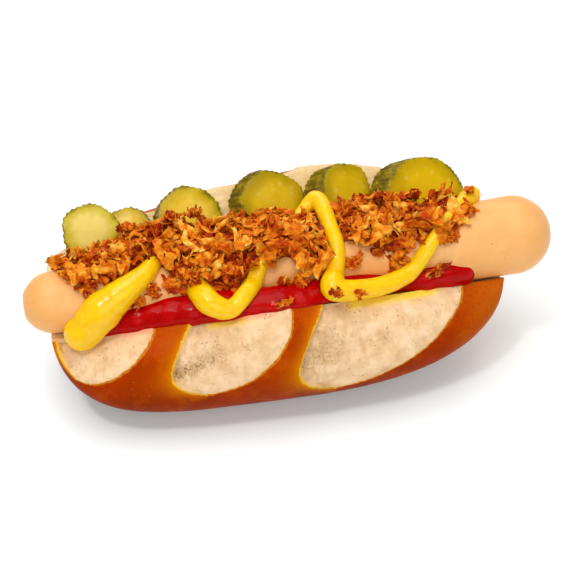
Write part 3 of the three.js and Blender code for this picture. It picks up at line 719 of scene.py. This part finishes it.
def roll_piece():
    t = np.linspace(-1, 1, ROLL_GRID.rows)
    u = t * (1 + END_CROWDING) - END_CROWDING * t**3
    near_part, far_part = ROLL_GRID.near_part, ROLL_GRID.far_part
    crust_v = [
        np.linspace(0, near_part, ROLL_GRID.near, endpoint=False),
        np.linspace(near_part, far_part, ROLL_GRID.under, endpoint=False),
        np.linspace(far_part, 1, ROLL_GRID.far),
    ]
    low, high = SEAT.near_share, SEAT.far_share
    cut_v = [
        np.linspace(1, high, CUT_GRID.far)[1:],
        np.linspace(high, low, CUT_GRID.seat)[1:],
        np.linspace(low, 0, CUT_GRID.near)[1:-1],
    ]
    sheets = []
    for v, shaped in ((crust_v, crust_points), (cut_v, cut_points)):
        sheets.append(shaped(*(m.ravel() for m in np.meshgrid(u, np.concatenate(v), indexing="ij"))))

    def joined(parts):
        return np.concatenate([part.reshape(len(u), -1, *part.shape[1:]) for part in parts], axis=1)

    points = joined([points for points, _ in sheets])
    layers = {name: joined([layers[name] for _, layers in sheets]).ravel() for name in sheets[0][1]}
    faces = grid_faces(len(u), points.shape[1], close=True)
    return mesh_piece("bread_roll", points.reshape(-1, 3), faces, layers)


def bread_material():
    bread = Material("bread", Roughness=0.5, IOR=1.45, Specular_IOR_Level=0.02)
    waver = bread.spread(bread.noise(1.8, 3), 0.3, 0.7, -0.22, 0.22)
    border = bread.plus(bread.layer("inside"), waver)
    crumb = bread.maths("MAXIMUM", bread.spread(border, 0.0, 0.45), bread.layer("cut"))
    patches = bread.spread(bread.noise(13, 4), 0.3, 0.7, -0.2, 0.2)
    skin = bread.ramp(bread.plus(bread.spread(bread.layer("below"), 0, 62), patches), CRUST_TONES)
    skin = bread.mix(bread.spread(border, -0.7, 0.1, 0, 0.7), bread.patched(skin, CRUST_PATCHES), CRUST_RIM)
    pale = bread.patched(bread.ramp(bread.noise(6, 5, 0.6), CRUMB_TONES), CRUMB_PATCHES)
    pale = bread.mix(bread.spread(border, 0.3, 1.6, 0.5, 0), pale, CRUMB_RIM)
    tone = bread.mix(crumb, skin, bread.patched(pale, SOAKED_PATCHES))
    # Painted light along each slash's border, over the crust's golden edge, lifting the shade on the step
    # there
    brim_painted_light = bread.times(bread.spread(border, -0.5, -0.05), bread.spread(border, 0.2, 0.6, 0.72, 0))
    level_side = bread.spread(bread.layer("across"), 0.1, 0.6)
    tone = bread.mix(brim_painted_light, tone, bread.mix(level_side, STEEP_BRIM_PAINTED_LIGHT, LEVEL_BRIM_PAINTED_LIGHT))
    bread.link(tone, "Base Color")
    bread.link(bread.spread(crumb, 0, 1, 0.33, 0.85), "Roughness")
    bread.bump(bread.noise(0.9, 4, 0.65), 0.2, 0.3)
    bread.bump(bread.times(bread.noise(4.5, 4, 0.55), crumb), 1.4, 0.8)
    pores = bread.times(bread.mask(*PORES), bread.mask(*PORE_FIELDS))
    bread.bump(bread.times(pores, crumb), -0.4, 0.8)
    return bread


dressed(roll_piece(), bread_material(), "roll", slot="roll")


# Sausage
def sausage_piece():
    sides, rows, cap = SAUSAGE_GRID.sides, SAUSAGE_GRID.rows, SAUSAGE_GRID.cap
    left, right = SAUSAGE.x - SAUSAGE.half, SAUSAGE.x + SAUSAGE.half
    rising = np.radians(np.linspace(90, 0, cap, endpoint=False))
    spots = [(left, -math.sin(a), math.cos(a)) for a in rising]
    spots += [(x, 0.0, 1.0) for x in np.linspace(left, right, rows)]
    spots += [(right, math.sin(a), math.cos(a)) for a in rising[::-1]]
    turns = np.linspace(0, 2 * math.pi, sides, endpoint=False)
    pleats = 0.5 + 0.5 * np.cos(turns * PLEATS.count + PLEATS.sway * np.sin(turns * PLEATS.sways))
    points = []
    for x, beyond, ring in spots:
        y, z, radius = sausage_at(x)
        deep = PLEATS.left if beyond < 0 else PLEATS.right
        wrinkle = 1 - deep * smooth(PLEATS.start, PLEATS.full, abs(beyond)) * pleats
        flat = 1 - END_FLAT.by * smooth(END_FLAT.start, 1.0, abs(beyond))
        reach = radius * max(ring, NARROWEST_RING) * wrinkle
        along = np.full(sides, x + beyond * radius * flat)
        points.append(np.column_stack([along, y + reach * np.cos(turns), z + reach * np.sin(turns)]))
    points = np.concatenate(points)
    middle_y, middle_z, _ = sausage_at(points[:, 0])
    outward = unit(points - np.column_stack([points[:, 0], middle_y, middle_z]))
    points += outward * relief(points, SAUSAGE_RELIEF)[:, None]
    faces = grid_faces(len(spots), sides, close=True)[:, ::-1]
    pucker = np.repeat([abs(beyond) for _, beyond, _ in spots], sides)
    return mesh_piece("sausage_skin", points, faces, {"pucker": pucker})


def sausage_material():
    skin = Material("sausage_skin", Roughness=0.4, IOR=1.42, Specular_IOR_Level=0.35)
    skin.link(skin.patched(skin.ramp(skin.noise(16, 4), SAUSAGE_TONES), SAUSAGE_PATCHES), "Base Color")
    skin.glow(0.2, (0.006, 0.003, 0.0015), 0.6)
    skin.bump(skin.noise(0.7, 3), 0.08, 0.3)
    skin.bump(skin.noise(5, 3), 0.3, 0.2)
    return skin


dressed(sausage_piece(), sausage_material(), "sausage", slot="sausage")


# Sauces
def strand(path, wide, high, across, sides):
    """A tube with round ends along path, wide along across and high square to it."""
    steps = np.sin(np.linspace(0, math.pi / 2, STRAND_CAP.steps)[1:])
    shrink = np.maximum(np.sqrt(1 - steps**2), STRAND_CAP.narrowest)
    ends = []
    for tip, inner in ((0, 1), (-1, -2)):
        ahead = unit(path[tip] - path[inner])
        ends.append(path[tip] + ahead * (steps * min(wide[tip], high[tip]))[:, None])
    path = np.concatenate([ends[0][::-1], path, ends[1]])
    wide, high = (np.concatenate([w[0] * shrink[::-1], w, w[-1] * shrink]) for w in (wide, high))
    ahead = unit(np.gradient(path, axis=0))
    side = unit(across - ahead * (ahead @ np.asarray(across, float))[:, None])
    up = np.cross(side, ahead)
    turns = np.linspace(0, 2 * math.pi, sides, endpoint=False)
    rings = (
        path[:, None, :]
        + (wide[:, None] * np.cos(turns))[:, :, None] * side[:, None, :]
        + (high[:, None] * np.sin(turns))[:, :, None] * up[:, None, :]
    )
    points = np.concatenate([rings.reshape(-1, 3), path[:1], path[-1:]])
    count = len(path) * sides
    faces = grid_faces(len(path), sides, close=True)[:, ::-1].tolist()
    for j in range(sides):
        after = (j + 1) % sides
        faces.append([count, j, after])
        faces.append([count + 1, count - sides + after, count - sides + j])
    return points, faces


def ketchup_at(x):
    """The ketchup's middle (y and z), half width and half height at x."""
    near = rim_at(NEAR_RIM, 2 * np.asarray(x) / ROLL_LENGTH)
    swell = 1 + KETCHUP_SEAT.uneven * wobble(x * KETCHUP_SEAT.pace, KETCHUP_SEAT.phase)
    wide, high = (np.interp(x, KETCHUP[:, 0], KETCHUP[:, k]) * swell for k in (1, 2))
    return near[:, 0] + wide - KETCHUP_SEAT.over, near[:, 1] + KETCHUP_SEAT.up, wide, high


def ketchup_piece():
    x = np.linspace(KETCHUP[0, 0], KETCHUP[-1, 0], KETCHUP_GRID.rows)
    y, z, wide, high = ketchup_at(x)
    tuck = smooth(KETCHUP_TUCK.start, KETCHUP_TUCK.full, x)
    tuck = tuck * smooth(KETCHUP_TUCK.end, KETCHUP_TUCK.last, x)
    path = np.column_stack([x, y + KETCHUP_TUCK.by * tuck, z])
    swell = 1 + relief(path, KETCHUP_SWELL)
    points, faces = strand(path, wide * swell, high * swell, KETCHUP_ACROSS, KETCHUP_GRID.sides)
    points[:, 2] += relief(points, KETCHUP_RELIEF)
    return remeshed(mesh_piece("ketchup_line", points, faces), KETCHUP_GRID.passes)


red = plain_material("ketchup", (4, 3), KETCHUP_TONES, Roughness=0.08, IOR=1.42, Specular_IOR_Level=0.13)
red.glow(0.15, (0.004, 0.0008, 0.0006))
red.bump(red.noise(2.2, 3), 0.4, 0.5)
dressed(ketchup_piece(), red, "ketchup", slot="ketchup")


def height_under(x, y, climb):
    """The height of what lies under the mustard: sausage, ketchup or near rim, and what is behind them."""
    middle_y, middle_z, radius = sausage_at(x)
    sauce_y, sauce_z, sauce_wide, sauce_high = ketchup_at(x)

    def dome(centre, height, reach, rise):
        off = np.abs((y - centre) / reach)
        return np.where(off < 1, height + rise * np.sqrt(np.maximum(0, 1 - off * off)), MUSTARD.lowest)

    rim = rim_at(NEAR_RIM, 2 * x / ROLL_LENGTH)[:, 1] - MUSTARD.under_rim
    low = np.maximum(dome(middle_y, middle_z, radius, radius), dome(sauce_y, sauce_z, sauce_wide, sauce_high))
    low = np.maximum(low, np.maximum(rim, MUSTARD.lowest))
    high = np.maximum(low, dome(BEHIND.y, BEHIND.z, BEHIND.reach, BEHIND.rise))
    return low + (high - low) * climb


def centripetal_spline(points, samples):
    """A centripetal Catmull-Rom curve through points, with even samples between each two of them."""
    ends = np.vstack([2 * points[0] - points[1], points, 2 * points[-1] - points[-2]])
    out = []
    for i in range(1, len(ends) - 2):
        p0, p1, p2, p3 = ends[i - 1 : i + 3]
        d0, d1, d2 = (math.sqrt(math.dist(a, b)) for a, b in ((p0, p1), (p1, p2), (p2, p3)))
        leave = ((p1 - p0) / d0 - (p2 - p0) / (d0 + d1) + (p2 - p1) / d1) * d1
        arrive = ((p2 - p1) / d1 - (p3 - p1) / (d1 + d2) + (p3 - p2) / d2) * d1
        w = np.linspace(0, 1, samples, endpoint=False)[:, None]
        out.append(hermite(p1, p2, leave, arrive, w))
    return np.concatenate(out + [ends[-2:-1]])


def mustard_path():
    """The middle of the mustard strand and its radius."""
    samples = MUSTARD_GRID.samples
    x, y = centripetal_spline(MUSTARD_TURNS[:, :2], samples).T
    turn = np.arange(len(x)) / samples
    thick, climb = (np.interp(turn, np.arange(len(MUSTARD_TURNS)), MUSTARD_TURNS[:, k]) for k in (2, 3))
    radius = thick * MUSTARD.radius
    height = sum(height_under(x, y + k, climb) for k in MUSTARD_FEELERS) / len(MUSTARD_FEELERS)
    return np.column_stack([x, y, height + MUSTARD.up * radius]), radius


def mustard_piece():
    path, radius = mustard_path()
    radius = radius * (1 + relief(path, MUSTARD_SWELL))
    points, faces = strand(path, radius, radius, MUSTARD_ACROSS, MUSTARD_GRID.sides)
    return remeshed(mesh_piece("mustard_line", points, faces), MUSTARD_GRID.passes)


yellow = plain_material("mustard", (3, 4), MUSTARD_TONES, Roughness=0.16, IOR=1.4, Specular_IOR_Level=0.5)
yellow.glow(0.6, (0.006, 0.0048, 0.0016))
yellow.bump(yellow.noise(1.0, 4), 0.12, 0.3)
dressed(mustard_piece(), yellow, "mustard", slot="mustard")


# Gherkin slices
def gherkin_frame(g):
    """The middle of a slice and its three directions: across, out of the bread, and down the slope."""
    u = np.array([2 * g.x / ROLL_LENGTH])
    rim, foot = rim_at(FAR_RIM, u)[0], seat_at(u, SEAT.stop)[0]
    slope = unit(np.array([0, *(rim - foot)]))
    out = np.array([0, -slope[2], slope[1]])
    middle = np.array([g.x, *rim]) - slope * g.drop + out * g.off
    basis = Matrix(np.column_stack([[1, 0, 0], out, -slope]).tolist())
    turn = Matrix.Rotation(math.radians(-g.turn), 3, "Z")
    lean = Matrix.Rotation(math.radians(g.lean), 3, "X")
    return middle, np.array(basis @ turn @ lean)


def slice_rows(thick):
    """Rows of a slice from the middle of its front to that of its back: how far out each is, its place
    through the thickness from 0.5 to -0.5, its share of the face and whether it is on the rind."""
    band = GHERKIN_GRID.band
    shares = np.linspace(0, GHERKIN_GRID.outermost, GHERKIN_GRID.rings)
    front = 0.5 - RIND.round / thick * smooth(RIND.round_from, 1, shares)
    rows = [(share, place, share, 0.0) for share, place in zip(shares, front)]
    for k in range(1, band):
        rows.append((1 + RIND.bulge * math.sin(math.pi * k / band), 0.5 - k / band, 1.0, 1.0))
    return rows + [(share, -place, share, 0.0) for share, place in zip(shares[::-1], front[::-1])]


def gherkin_piece(g, index):
    sides = GHERKIN_GRID.sides
    angle = np.linspace(0, 2 * math.pi, sides, endpoint=False)
    three, five = (np.cos(k * angle + phase) for k, phase in ((3, LOBES.phase * index), (5, index)))
    lobes = 1 + LOBES.three * three + LOBES.five * five
    reach, thick = g.size / 2, g.thick
    rim = np.column_stack([np.cos(angle), np.sin(angle), np.full(sides, index)]) * reach
    scallops = round(2 * math.pi * reach / RIND.scallop)
    high, size, seed = WARTS
    warts = RIND.scallop_high * np.cos(scallops * angle + index)
    warts = warts + high * lump_noise(rim, size, seed + index)
    high, size, seed = PIMPLES
    points, radial, rind = [], [], []
    for share, front, place, outer in slice_rows(thick):
        scale = lobes * (g.back + (1 - g.back) * (front + 0.5))
        pimples = outer * high * np.maximum(0, lump_noise(rim + [0, 0, front * thick], size, seed + index))
        rough = (warts + pimples) * smooth(RIND.warts_from, 1.0, share)
        distance = max(share, GHERKIN_GRID.innermost) * reach * scale + rough
        x, z = distance * np.cos(angle) + g.slant * front, g.tall * distance * np.sin(angle)
        local = np.column_stack([x, front * thick + LOBES.bend * np.cos(2 * angle + index) * share, z])
        local[:, 1] += relief(local + index * FACE_SHIFT, FACE_RELIEF) * (1 - outer) * np.sign(front)
        points.append(local)
        radial.append(np.full(sides, place))
        rind.append(np.full(sides, outer))
    middle, turned = gherkin_frame(g)
    faces = grid_faces(len(points), sides, close=True)
    layers = {"radial": np.concatenate(radial), "rind": np.concatenate(rind)}
    return mesh_piece(f"gherkin_slice_{index + 1}", np.concatenate(points) @ turned.T + middle, faces, layers)


def gherkin_material(index):
    middle, ring = GHERKIN_TONES[index]
    flesh = Material(f"gherkin_{index + 1}", Roughness=0.22, IOR=1.4, Specular_IOR_Level=0.16)
    place = flesh.plus(flesh.layer("radial"), flesh.spread(flesh.noise(5, 3), 0.3, 0.7, -0.08, 0.08))
    tone = flesh.ramp(place, [(0.0, middle), (0.5, middle), (0.86, ring), *UNDER_RIND_TONES])
    tone = flesh.mix(flesh.spread(flesh.noise(2.4, 4, 0.6), 0.5, 0.75, 0, 0.25), tone, ring)
    seed_ring = flesh.times(flesh.spread(place, 0.3, 0.42), flesh.spread(place, 0.64, 0.76, 0.14, 0))
    seeds = flesh.times(flesh.spread(flesh.cells(3.4), 0.2, 0.34, 1, 0), seed_ring)
    tone = flesh.mix(seeds, tone, SEED_TONE)
    rind = flesh.ramp(flesh.noise(2.6, 3), RIND_TONES)
    flesh.link(flesh.mix(flesh.layer("rind"), tone, rind), "Base Color")
    flesh.link(flesh.spread(flesh.layer("rind"), 0, 1, 0.2, 0.4), "Roughness")
    flesh.glow(0.3, (0.005, 0.004, 0.0008))
    flesh.bump(flesh.noise(1.4, 3), 0.2, 0.35)
    return flesh


for number, sizes in enumerate(GHERKINS):
    dressed(gherkin_piece(sizes, number), gherkin_material(number), f"gherkin_{number + 1}", slot="gherkin")


# Fried onions
def heap_reach(x, degrees, share):
    """How far from the sausage's axis the heap's outside lies at x and an angle, at a share of its height."""
    _, _, radius = sausage_at(x)
    middle = (HEAP.start + HEAP.end) / 2
    out = np.minimum(1, np.abs(x - middle) / (HEAP.end - middle))
    full = np.sqrt(1 - out ** HEAP.blunt)
    thick = np.interp(degrees, *HEAP_PROFILE.T) * np.interp(x, *HEAP_FULLNESS.T)
    thick = thick + HEAP_WAVE.high * wobble(x * HEAP_WAVE.pace + degrees, HEAP_WAVE.phase)
    return radius - HEAP.root + (HEAP.root + thick) * full * share


def near_angle(x):
    """The angle round the sausage at which the heap's near edge lies."""
    y, _, radius = sausage_at(x)
    return np.degrees(np.arccos(np.maximum(-HEAP.steepest, (np.interp(x, *HEAP_EDGE.T) - y) / radius)))


def around(x, degrees, reach):
    """Points round the sausage's axis, and the directions away from it."""
    y, z, _ = sausage_at(x)
    angle = np.radians(degrees)
    away = np.column_stack([np.zeros_like(angle), np.cos(angle), np.sin(angle)])
    return np.column_stack([x, y, z]) + away * reach[:, None], away


def heap_core():
    """The dark layer under the flakes: painted shade seen in the gaps between them."""
    rows, steps = CORE_GRID.rows, CORE_GRID.steps
    share = np.linspace(0, 1, steps)
    x = np.repeat(np.linspace(HEAP.start, HEAP.end, rows), 2 * steps)
    turn = np.tile(np.concatenate([share, share[::-1]]), rows)
    outer = np.tile(np.repeat([1.0, 0.0], steps), rows)
    degrees = HEAP.far_angle + (near_angle(x) - HEAP.far_angle) * turn
    rim = smooth(0, CORE.rim, turn) * smooth(1, 1 - CORE.rim, turn)
    points, away = around(x, degrees, heap_reach(x, degrees, outer * (CORE.low + CORE.swell * rim)))
    points += away * (relief(points, CORE_RELIEF) * outer * rim)[:, None]
    return mesh_piece("shaded_onion_bed", points, grid_faces(rows, 2 * steps, close=True))


def flake_sheets(rng, kind, sizes):
    """The upper and lower sides of curled, crumpled flakes lying flat, and how near its edge a point is."""
    count, rows, columns = len(sizes[0]), kind.grid.rows, kind.grid.columns
    long, wide, thick = (side[:, None, None] for side in sizes)
    s = np.linspace(-1, 1, rows)[None, :, None]
    t = np.linspace(-1, 1, columns)[None, None, :]

    def each(low, high):
        return rng.uniform(low, high, (count, 1, 1))

    def around_none(size):
        return rng.normal(0, size, (count, 1, 1))

    shape, curl, ripples = FLAKE_OUTLINE, FLAKE_CURL, FLAKE_RIPPLES
    outline = np.maximum((1 - np.abs(s) ** each(*shape.blunt)) ** 0.5, shape.narrowest)
    outline = outline * (1 + rng.uniform(-shape.ragged, shape.ragged, (count, rows, 1)))
    half = wide / 2 * outline
    bend = around_none(curl.bend)
    bend = np.where(np.abs(bend) < curl.least, curl.least, bend)
    shift = rng.uniform(-shape.along, shape.along, (count, rows, columns))
    local_x = long / 2 * (np.sin(bend * s) / bend + shift)
    shift = rng.uniform(-shape.aside, shape.aside, (count, rows, columns))
    local_y = half * t * (1 + shift) + around_none(shape.sweep) * long * s**2
    height = long / 2 * (1 - np.cos(bend * s)) / bend + around_none(curl.cup) * half * t**2
    height = height + around_none(curl.fold) * half * np.abs(t - each(-curl.fold_at, curl.fold_at))
    wave = each(*ripples.along) * s + each(*ripples.aside) * t + each(*ripples.start)
    height = height + kind.crumple * np.sin(wave)
    height = height + kind.crumple * rng.normal(0, ripples.rough, (count, rows, columns))
    thinned = (1 - FLAKE_EDGE.thinner * np.abs(t)) * np.clip(outline, FLAKE_EDGE.thinnest, 1)
    twist = around_none(curl.twist) * s
    sheets = []
    for level in (height + thick / 2 * thinned, height - thick / 2 * thinned):
        turned_y = local_y * np.cos(twist) - level * np.sin(twist)
        turned_z = local_y * np.sin(twist) + level * np.cos(twist)
        sheets.append(np.stack([local_x, turned_y, turned_z], -1))
    return sheets, np.maximum(s[0] ** 2, FLAKE_EDGE.pale * np.abs(t[0]))


def flakes(kind, rng, middles, normals, tones, sizes):
    """Flakes of onion, one at each middle, lying roughly square to its normal."""
    count, rows, ring = len(middles), kind.grid.rows, 2 * kind.grid.columns
    (upper, lower), edge = flake_sheets(rng, kind, sizes)
    local = np.concatenate([upper, lower[:, :, ::-1]], axis=2)
    local[..., 2] -= local[..., 2].mean((1, 2), keepdims=True)
    along = unit(np.cross(normals, rng.normal(0, 1, (count, 3))))
    axes = np.stack([along, np.cross(normals, along), normals], 1)
    points = middles[:, None, None, :] + np.einsum("nrci,nij->nrcj", local, axes)
    j = np.arange(kind.grid.columns - 1)
    cap = np.column_stack([j, ring - 1 - j, ring - 2 - j, j + 1])
    one = np.concatenate([grid_faces(rows, ring, close=True), cap, cap[:, ::-1] + (rows - 1) * ring])
    faces = (one[None] + (np.arange(count) * rows * ring)[:, None, None]).reshape(-1, 4)
    edge = np.concatenate([edge, edge[:, ::-1]], axis=1).ravel()
    return points.reshape(-1, 3), faces, {"tone": np.repeat(tones, rows * ring), "edge": np.tile(edge, count)}


def tilted(rng, normals, degrees):
    """Normals leaned over by random angles."""
    return unit(normals + np.cross(rng.normal(0, math.radians(degrees), (len(normals), 3)), normals))


def under_mustard(points):
    """Whether a flake there would lie in the stretch of mustard that runs over the onions."""
    path, radius = mustard_path()
    bare = (path[:, 0] > MUSTARD_ON_TOP[0]) & (path[:, 0] < MUSTARD_ON_TOP[1])
    away = np.linalg.norm(points[:, None, :] - path[None, bare], axis=2) - radius[bare]
    return away.min(axis=1) < FLAKE_GAP


def heap_places(rng, count, over):
    """Random places in ridges on the heap, the directions out of it and tones, with painted shade on the
    lower flakes.
    """
    x = rng.uniform(HEAP.start + PILE.ends, HEAP.end - PILE.ends, 3 * count)
    span = near_angle(x) - PILE.near - HEAP.far_angle
    degrees = HEAP.far_angle + span * rng.uniform(PILE.far, 1, len(x))
    surface, away = around(x, degrees, heap_reach(x, degrees, 1.0))
    ridge = lump_noise(surface, *PILE.ridge)
    likely = smooth(PILE.sparse, PILE.dense, ridge)
    kept = np.flatnonzero(~under_mustard(surface) & (rng.uniform(0, 1, len(x)) < likely))[:count]
    lift = rng.uniform(*over, len(kept)) + PILE.lift * ridge[kept]
    # Painted shade: the lower a flake lies in the heap, the darker its tone; the random part is its own tone
    tones = PILE_SHADE_AND_TONE.by * smooth(PILE_SHADE_AND_TONE.low, PILE_SHADE_AND_TONE.high, lift)
    tones = tones + rng.uniform(PILE_SHADE_AND_TONE.least, PILE_SHADE_AND_TONE.most, len(kept))
    return surface[kept] + away[kept] * lift[:, None], away[kept], tones


def loose_places(rng):
    """Places of the flakes that have fallen off the heap, the directions out of it and how pale they are."""
    middles, normals = [], []
    for x, y, z, width, count in LOOSE:
        middle_y, middle_z, _ = sausage_at(x)
        reach = math.hypot(y - middle_y, z - middle_z)
        angle = math.degrees(math.atan2(z - middle_z, y - middle_y))
        turn = rng.normal(0, math.degrees(width / 2 / reach), count)
        along = x + rng.normal(0, width / 2, count)
        points, away = around(along, angle + turn, reach + rng.uniform(*LOOSE_OVER, count))
        middles.append(points)
        normals.append(away)
    middles, normals = np.concatenate(middles), np.concatenate(normals)
    return middles, normals, rng.uniform(*LOOSE_TONE, len(middles))


def flake_piece(kind):
    rng = np.random.default_rng(kind.seed)
    places = heap_places(rng, kind.count, kind.over) if hasattr(kind, "over") else loose_places(rng)
    middles, normals, tones = places
    sizes = [rng.uniform(*limits, len(middles)) for limits in kind.sizes]
    normals = tilted(rng, normals, kind.lean)
    return mesh_piece(kind.name, *flakes(kind, rng, middles, normals, tones, sizes))


def onion_material():
    crisp = Material("fried_onion", Roughness=0.5, IOR=1.45, Specular_IOR_Level=0.15)
    patches = crisp.spread(crisp.noise(2.6, 4, 0.6), 0.3, 0.7, -0.25, 0.25)
    shade = crisp.plus(crisp.layer("tone"), patches)
    shade = crisp.plus(shade, crisp.spread(crisp.layer("edge"), 0.7, 1.0, -0.04, 0.12))
    crisp.link(crisp.ramp(shade, FRIED_TONES), "Base Color")
    crisp.bump(crisp.noise(1.1, 4, 0.7), 0.5, 0.8)
    return crisp


# A dark layer under the flakes, as painted shade in the gaps
dark = plain_material("shaded_onion_bed", (2, 4), BED_SHADE_TONES, Roughness=0.6, Specular_IOR_Level=0.2)
dark.bump(dark.noise(1.2, 4), 0.6, 0.8)
dressed(heap_core(), dark, "onions", slot="onions")
fried = onion_material()
for flake_kind in FLAKES:
    dressed(flake_piece(flake_kind), fried, slot="onions")


# Studio
def aimed(name, data, place):
    """A lamp or camera at a place in metres, turned to the target."""
    made = bpy.data.objects.new(name, data)
    bpy.context.scene.collection.objects.link(made)
    made.location = place
    made.rotation_euler = (Vector(TARGET) * MM - made.location).to_track_quat("-Z", "Y").to_euler()
    return made


def softbox(name, place, size, power):
    lamp = bpy.data.lights.new(name, "AREA")
    lamp.shape = "DISK"
    lamp.size = size
    lamp.energy = power
    aimed(name, lamp, place)


def studio():
    """A pale floor that glows a little, as painted light in its shadows, a pale sky and the lamps."""
    corners = [(x * FLOOR_REACH, y * FLOOR_REACH, 0) for x, y in ((-1, -1), (1, -1), (1, 1), (-1, 1))]
    floor = mesh_piece("floor", corners, [[0, 1, 2, 3]])
    paper = plain_material("glowing_floor_paper", (60, 2), FLOOR_TONES, **FLOOR_PAPER_AND_GLOW)
    floor.data.materials.append(paper.material)

    world = bpy.data.worlds.new("studio")
    world.use_nodes = True
    world.node_tree.nodes["Background"].inputs["Color"].default_value = SKY.colour
    world.node_tree.nodes["Background"].inputs["Strength"].default_value = SKY.strength
    bpy.context.scene.world = world
    for lamp in LAMPS:
        softbox(*lamp)


def camera():
    azimuth, elevation = math.radians(AZIMUTH), math.radians(ELEVATION)
    level = math.cos(elevation)
    back = Vector((math.sin(azimuth) * level, -math.cos(azimuth) * level, math.sin(elevation)))
    data = bpy.data.cameras.new("camera")
    data.lens = LENS
    data.sensor_width = SENSOR
    data.clip_start = NEAREST
    bpy.context.scene.camera = aimed("camera", data, (Vector(TARGET) + back * DISTANCE) * MM)


studio()
camera()
bpy.context.scene.view_settings.view_transform = "Standard"
